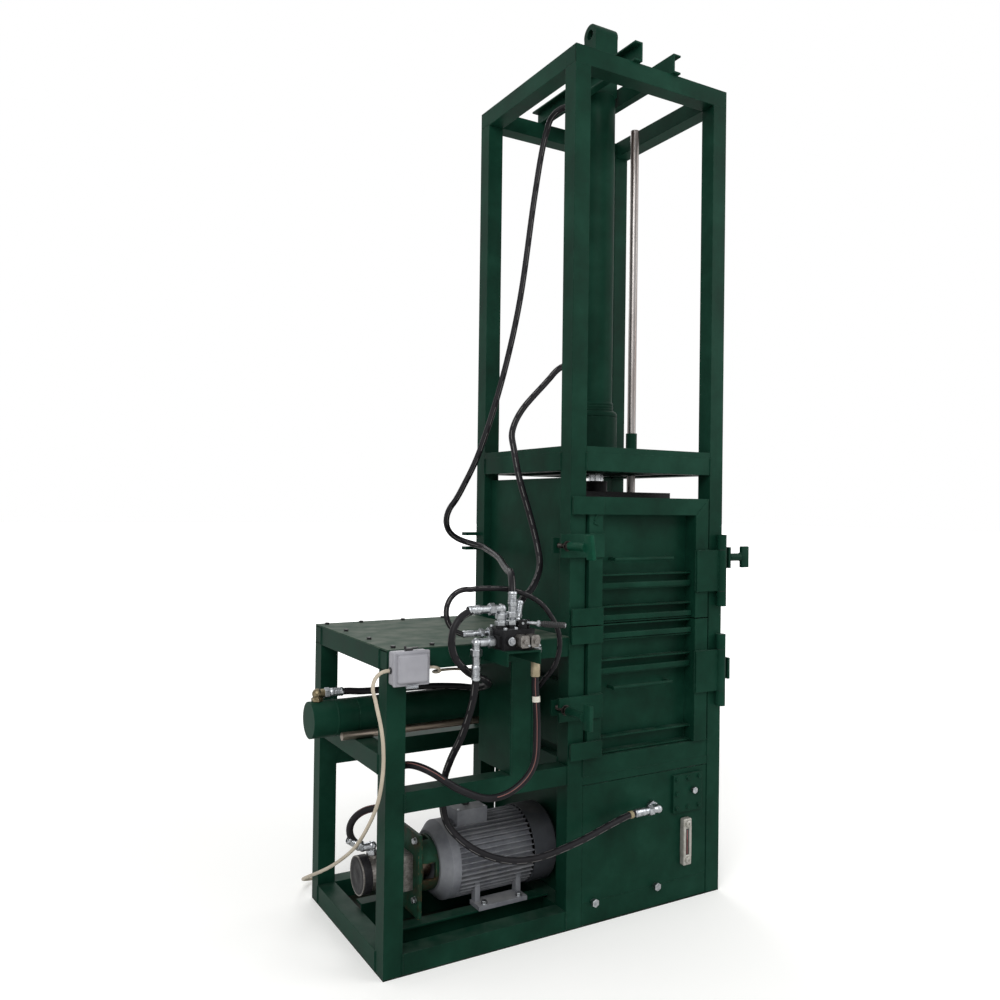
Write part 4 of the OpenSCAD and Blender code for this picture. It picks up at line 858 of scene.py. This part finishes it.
def barrelRings(bm):
    profile = [(0, .075), (.006, .0715), (.010, .0660)]
    for i in range(3):
        at = .012 + i * .010
        profile += [(at, .0590), (at + .001, .0605), (at + .006, .0605), (at + .007, .0590)]
    addTurned(bm, profile + [(.045, .0565), (.046, .0555)], (.315, 0, 1.7065), up, 56)


dress("barrelRings", greenEnamel, barrelRings)


# painted shade: black rings at the joints between the hinge's knuckles, standing in for the shadow in the
# gaps there
def hingeGapShadeRings(bm):
    gapShadeRing = [(-.0008, .0160), (-.0008, .01705), (.0008, .01705), (.0008, .0160)]
    for z in (1.071, 1.217, .718, .864):
        addTurned(bm, gapShadeRing, (.628, -.333, z), up, 32)


dress("hingeGapShadeRings", blackOxide, hingeGapShadeRings)

# Plug: ringed strain relief, ribbed body, collar with a recessed face and pins
plug = {"tip": Vector((.310, .375, .027)), "ribs": 14, "pins": 4, "pinRing": .0125}


def plugBody(bm):
    profile = [(0, .0050), (0, .0085)]
    for i in range(4):
        at, radius = .001 + i * .004, .0092 + i * .0022
        profile += [(at, radius), (at + .0022, radius + .0008), (at + .0026, radius - .0010),
                    (at + .0038, radius - .0006)]
    profile += [(.017, .0180), (.0172, .0225), (.019, .0250), (.023, .0262), (.052, .0262), (.054, .0248),
                (.057, .0248), (.059, .0262), (.094, .0262), (.097, .0250), (.0972, .0240), (.126, .0240),
                (.129, .0228), (.129, .0205), (.112, .0200), (.112, 0)]
    addTurned(bm, profile, plug["tip"], right, 40)
    for i in range(plug["ribs"]):
        turn = Matrix.Translation(plug["tip"]) @ Matrix.Rotation(2 * math.pi * i / plug["ribs"], 4, "X")
        addBox(bm, (.062, -.0018, .0255), (.091, .0018, .0269), .0006, 2, turn)


def plugPins(bm):
    for i in range(plug["pins"]):
        angle = 2 * math.pi * i / plug["pins"] + .4
        offset = Vector((.110, plug["pinRing"] * math.cos(angle), plug["pinRing"] * math.sin(angle)))
        addTurned(bm, [(0, .0028), (.014, .0028), (.016, .0018), (.016, 0)], plug["tip"] + offset, right, 16)


# Tie: a strap drawn tight round the turns, given as a ring of corners
tie = {"angle": 70, "half": .007, "thick": .0011, "ring": (
    (-.0178, .0006), (.0178, .0006), (.0178, .0098), (.0122, .0226), (-.0122, .0226), (-.0178, .0098))}


def coilTie(bm):
    angle = math.radians(tie["angle"])
    middle = Vector((mains["coil"].x, mains["coil"].y, 0))
    spot = middle + mains["coilRadius"] * Vector((math.cos(angle), math.sin(angle), 0))
    base = Matrix.Translation(spot) @ Matrix.Rotation(angle, 4, "Z")
    half, thick = tie["half"], tie["thick"]
    ring = [Vector(corner) for corner in tie["ring"]]
    for a, b in zip(ring, ring[1:] + ring[:1]):
        along = b - a
        tilt = Matrix.Rotation(-math.atan2(along.y, along.x), 4, "Y")
        lean = base @ Matrix.Translation((a.x, 0, a.y)) @ tilt
        addBox(bm, (-.0006, -half, -thick / 2), (along.length + .0006, half, thick / 2), .0003, 1, lean)
    addBox(bm, (-.005, -half - .001, .0222), (.005, half + .001, .0268), .0012, 2, base)


plugPiece = dress("plugBody", plugPlastic, plugBody, replaced=["mains_plug"])
pinPiece = dress("plugPins", yellowZinc, plugPins)
tiePiece = dress("coilTie", gripPlastic, coilTie)
print("power pack, gauge, plug and coil made")

# Weld beads: overlapping ripples along each joint, under the paint
weld = {"radius": 0.0035, "ripple": 0.0045, "wave": 0.0006}


def addBead(bm, start, end):
    start, end = Vector(start), Vector(end)
    length = (end - start).length
    count = max(3, int(length / weld["ripple"]))
    low, high = weld["radius"] - weld["wave"], weld["radius"] + weld["wave"]
    profile = [(0, 0)]
    for i in range(count):
        at = length * (i + 0.5) / count
        profile += [(at - 0.4 * length / count, low), (at, high)]
    addTurned(bm, profile + [(length, 0)], start, end - start, 8)


def frameWelds(bm):
    def upright(x, y, low, high):
        addBead(bm, (x, y, low), (x, y, high))

    towerLeft, towerRight, insideLeft, insideRight = -.015, .645, .045, .585
    tableLeft, tableInside, insideY, faceY, tube = -.645, -.585, .255, .315, .060
    for y in (-1, 1):
        for low in (1.482, .486):
            for x in (insideLeft, insideRight):
                upright(x, y * faceY, low, low + tube)
            for x in (towerLeft, towerRight):
                upright(x, y * insideY, low, low + tube)
        for x, low in ((towerLeft, .882), (towerLeft, .470), (tableInside, .470)):
            upright(x, y * faceY, low, low + tube)
        addBead(bm, (tableLeft, y * faceY, .882), (tableInside, y * faceY, .882))
        for x in (tableInside, towerLeft):
            upright(x, y * faceY, .064, .004)
        for low in (.575, .882, .004):
            upright(tableLeft, y * insideY, low, low + tube)
    # stand of the valve
    for x in (-.229, -.152):
        upright(x, -faceY, .530, .882)
    addBead(bm, (-.338, -faceY, .940), (-.222, -faceY, .940))


dress("frameWelds", greenEnamel, frameWelds)


def trimPieces(bm):
    # end caps of the tubes of the top ring and the table
    for y in (-.3145, .2555):
        addBox(bm, (-.645, y, .8825), (-.641, y + .059, .9415), .0006, 1)
    for x, y in product((-.015, .641), (-.3145, .2555)):
        addBox(bm, (x, y, 2.8055), (x + .004, y + .059, 2.8645), .0006, 1)
    # strip that carries the sill down to the tank cover, and the cover's lower seam
    addBox(bm, (.0455, -.3148, .4585), (.5845, -.309, .4862), .0008, 1)
    addBox(bm, (.049, -.3136, .0735), (.581, -.3128, .0745), .0002, 1)
    # weld ring between the ejector's tube and its cap
    addTurned(bm, [(0, .0568), (.002, .0583), (.005, .0585), (.007, .0568)], (-.694, 0, .692), right, 48)


dress("trimPieces", greenEnamel, trimPieces)


# Stepped bars along the doors' ribs and rails, and the mitre of the upper door's frame
doorSheet, doorFace = -.272, -.326


def doorBars(*bars):
    def fill(bm):
        for z, depth in bars:
            y = doorSheet - depth
            addBox(bm, (.112, y - .005, z), (.508, y + .004, z + .018), .0022, 3)
    return fill


dress("upperDoorBars", greenEnamel, doorBars((1.094, .030), (.988, .035)), "upper_door")
dress("lowerDoorBars", greenEnamel, doorBars((.812, .030), (.929, .035)), "lower_door")


def upperMitre(bm):
    addTurned(bm, [(0, 0), (0, .0009), (.080, .0009), (.080, 0)], (.514, -.3252, 1.340), (1, 0, 1), 8)
    for x0, z0, x1, z1 in ((.066, 1.372, .070, 1.345), (.082, 1.340, .072, 1.318),
                           (.070, 1.312, .090, 1.304)):
        addBead(bm, (x0, -.3255, z0), (x1, -.3255, z1))


dress("upperMitre", greenEnamel, upperMitre, "upper_door")


def doorWelds(clampZ, leafZ):
    # round the clamp's strap and the hinge's leaf
    def fill(bm):
        for x0, x1, inner, low, high in ((.053, .108, .108, clampZ - .038, clampZ + .038),
                                         (.511, .571, .511, leafZ + .001, leafZ + .145)):
            for z in (low, high):
                addBead(bm, (x0, doorFace, z), (x1, doorFace, z))
            addBead(bm, (inner, doorFace, low), (inner, doorFace, high))
    return fill


dress("upperDoorWelds", greenEnamel, doorWelds(1.238, 1.071), "upper_door")
dress("lowerDoorWelds", greenEnamel, doorWelds(.716, .718), "lower_door")
print("welds run")

# Studio: pale floor, white surroundings, soft lamps
view = {"place": (-1.657, -2.679, 1.359), "yaw": 30.24, "pitch": 0.46, "roll": 0.733, "lens": 32.08,
        "sensor": 36}
camData = bpy.data.cameras.new("camera")
camData.lens = view["lens"]
camData.sensor_width = view["sensor"]
cam = addObject("camera", camData)
yaw, pitch, roll = (math.radians(view[key]) for key in ("yaw", "pitch", "roll"))
ahead = Vector((math.sin(yaw) * math.cos(pitch), math.cos(yaw) * math.cos(pitch), math.sin(pitch)))
cam.location = view["place"]
cam.rotation_mode = "QUATERNION"
cam.rotation_quaternion = ahead.to_track_quat("-Z", "Y") @ Matrix.Rotation(roll, 4, "Z").to_quaternion()
scene.camera = cam

white = (1, 1, 1, 1)
studio = {"floor": "#f4f4f2", "floorSize": 60, "floorGlow": 0.16, "fade": (1.5, 7.0), "worldStrength": 0.62}
lamps = {
    "keyLamp": dict(place=(-3.2, -3.4, 4.2), target=(0.1, 0, 1.2), size=2.6, power=150),
    "fillLamp": dict(place=(3.4, -3.0, 3.0), target=(0.2, 0, 1.2), size=3.0, power=70),
    "backLamp": dict(place=(1.0, 3.6, 4.2), target=(0.2, 0, 1.6), size=2.6, power=60),
}
floorMesh = bpy.data.meshes.new("floor")
bm = bmesh.new()
bmesh.ops.create_grid(bm, x_segments=1, y_segments=1, size=studio["floorSize"])
bm.to_mesh(floorMesh)
bm.free()
floorMaterial, tree, shader = newMaterial("paleFloor", {
    "Roughness": 0.9, "Base Color": hexColour(studio["floor"]), "Emission Color": white})
# the floor fades to white away from the press
place = addNode(tree, "TexCoord").outputs["Object"]
away = addNode(tree, "VectorMath", {0: place}, operation="LENGTH").outputs["Value"]
fade = addNode(tree, "MapRange", {
    "Value": away, "From Min": studio["fade"][0], "From Max": studio["fade"][1],
    "To Min": studio["floorGlow"], "To Max": 1.0}, interpolation_type="SMOOTHSTEP")
cameraRay = addNode(tree, "LightPath").outputs["Is Camera Ray"]
glow = addNode(tree, "Math", {0: cameraRay, 1: fade}, operation="MULTIPLY")
setInputs(tree, shader, {"Emission Strength": glow})
floorMesh.materials.append(floorMaterial)
addObject("floor", floorMesh)

world = bpy.data.worlds.new("studioWorld")
scene.world = world
world.use_nodes = True
tree = world.node_tree
# full white to the eye and in reflections, dimmer as a light
rays = addNode(tree, "LightPath").outputs
seen = addNode(tree, "Math", {0: rays["Is Camera Ray"], 1: rays["Is Glossy Ray"]}, operation="MAXIMUM")
seen = addNode(tree, "Math", {0: seen, 1: rays["Is Transmission Ray"]}, operation="MAXIMUM")
strength = addNode(tree, "MapRange", {"Value": seen, "To Min": studio["worldStrength"], "To Max": 1.0})
setInputs(tree, tree.nodes["Background"], {"Color": white, "Strength": strength})
for lampName, spec in lamps.items():
    data = bpy.data.lights.new(lampName, "AREA")
    data.shape = "SQUARE"
    data.size = spec["size"]
    data.energy = spec["power"]
    lamp = addObject(lampName, data)
    lamp.location = spec["place"]
    lamp.rotation_mode = "QUATERNION"
    lamp.rotation_quaternion = (Vector(spec["target"]) - Vector(spec["place"])).to_track_quat("-Z", "Y")
print("camera and studio set")
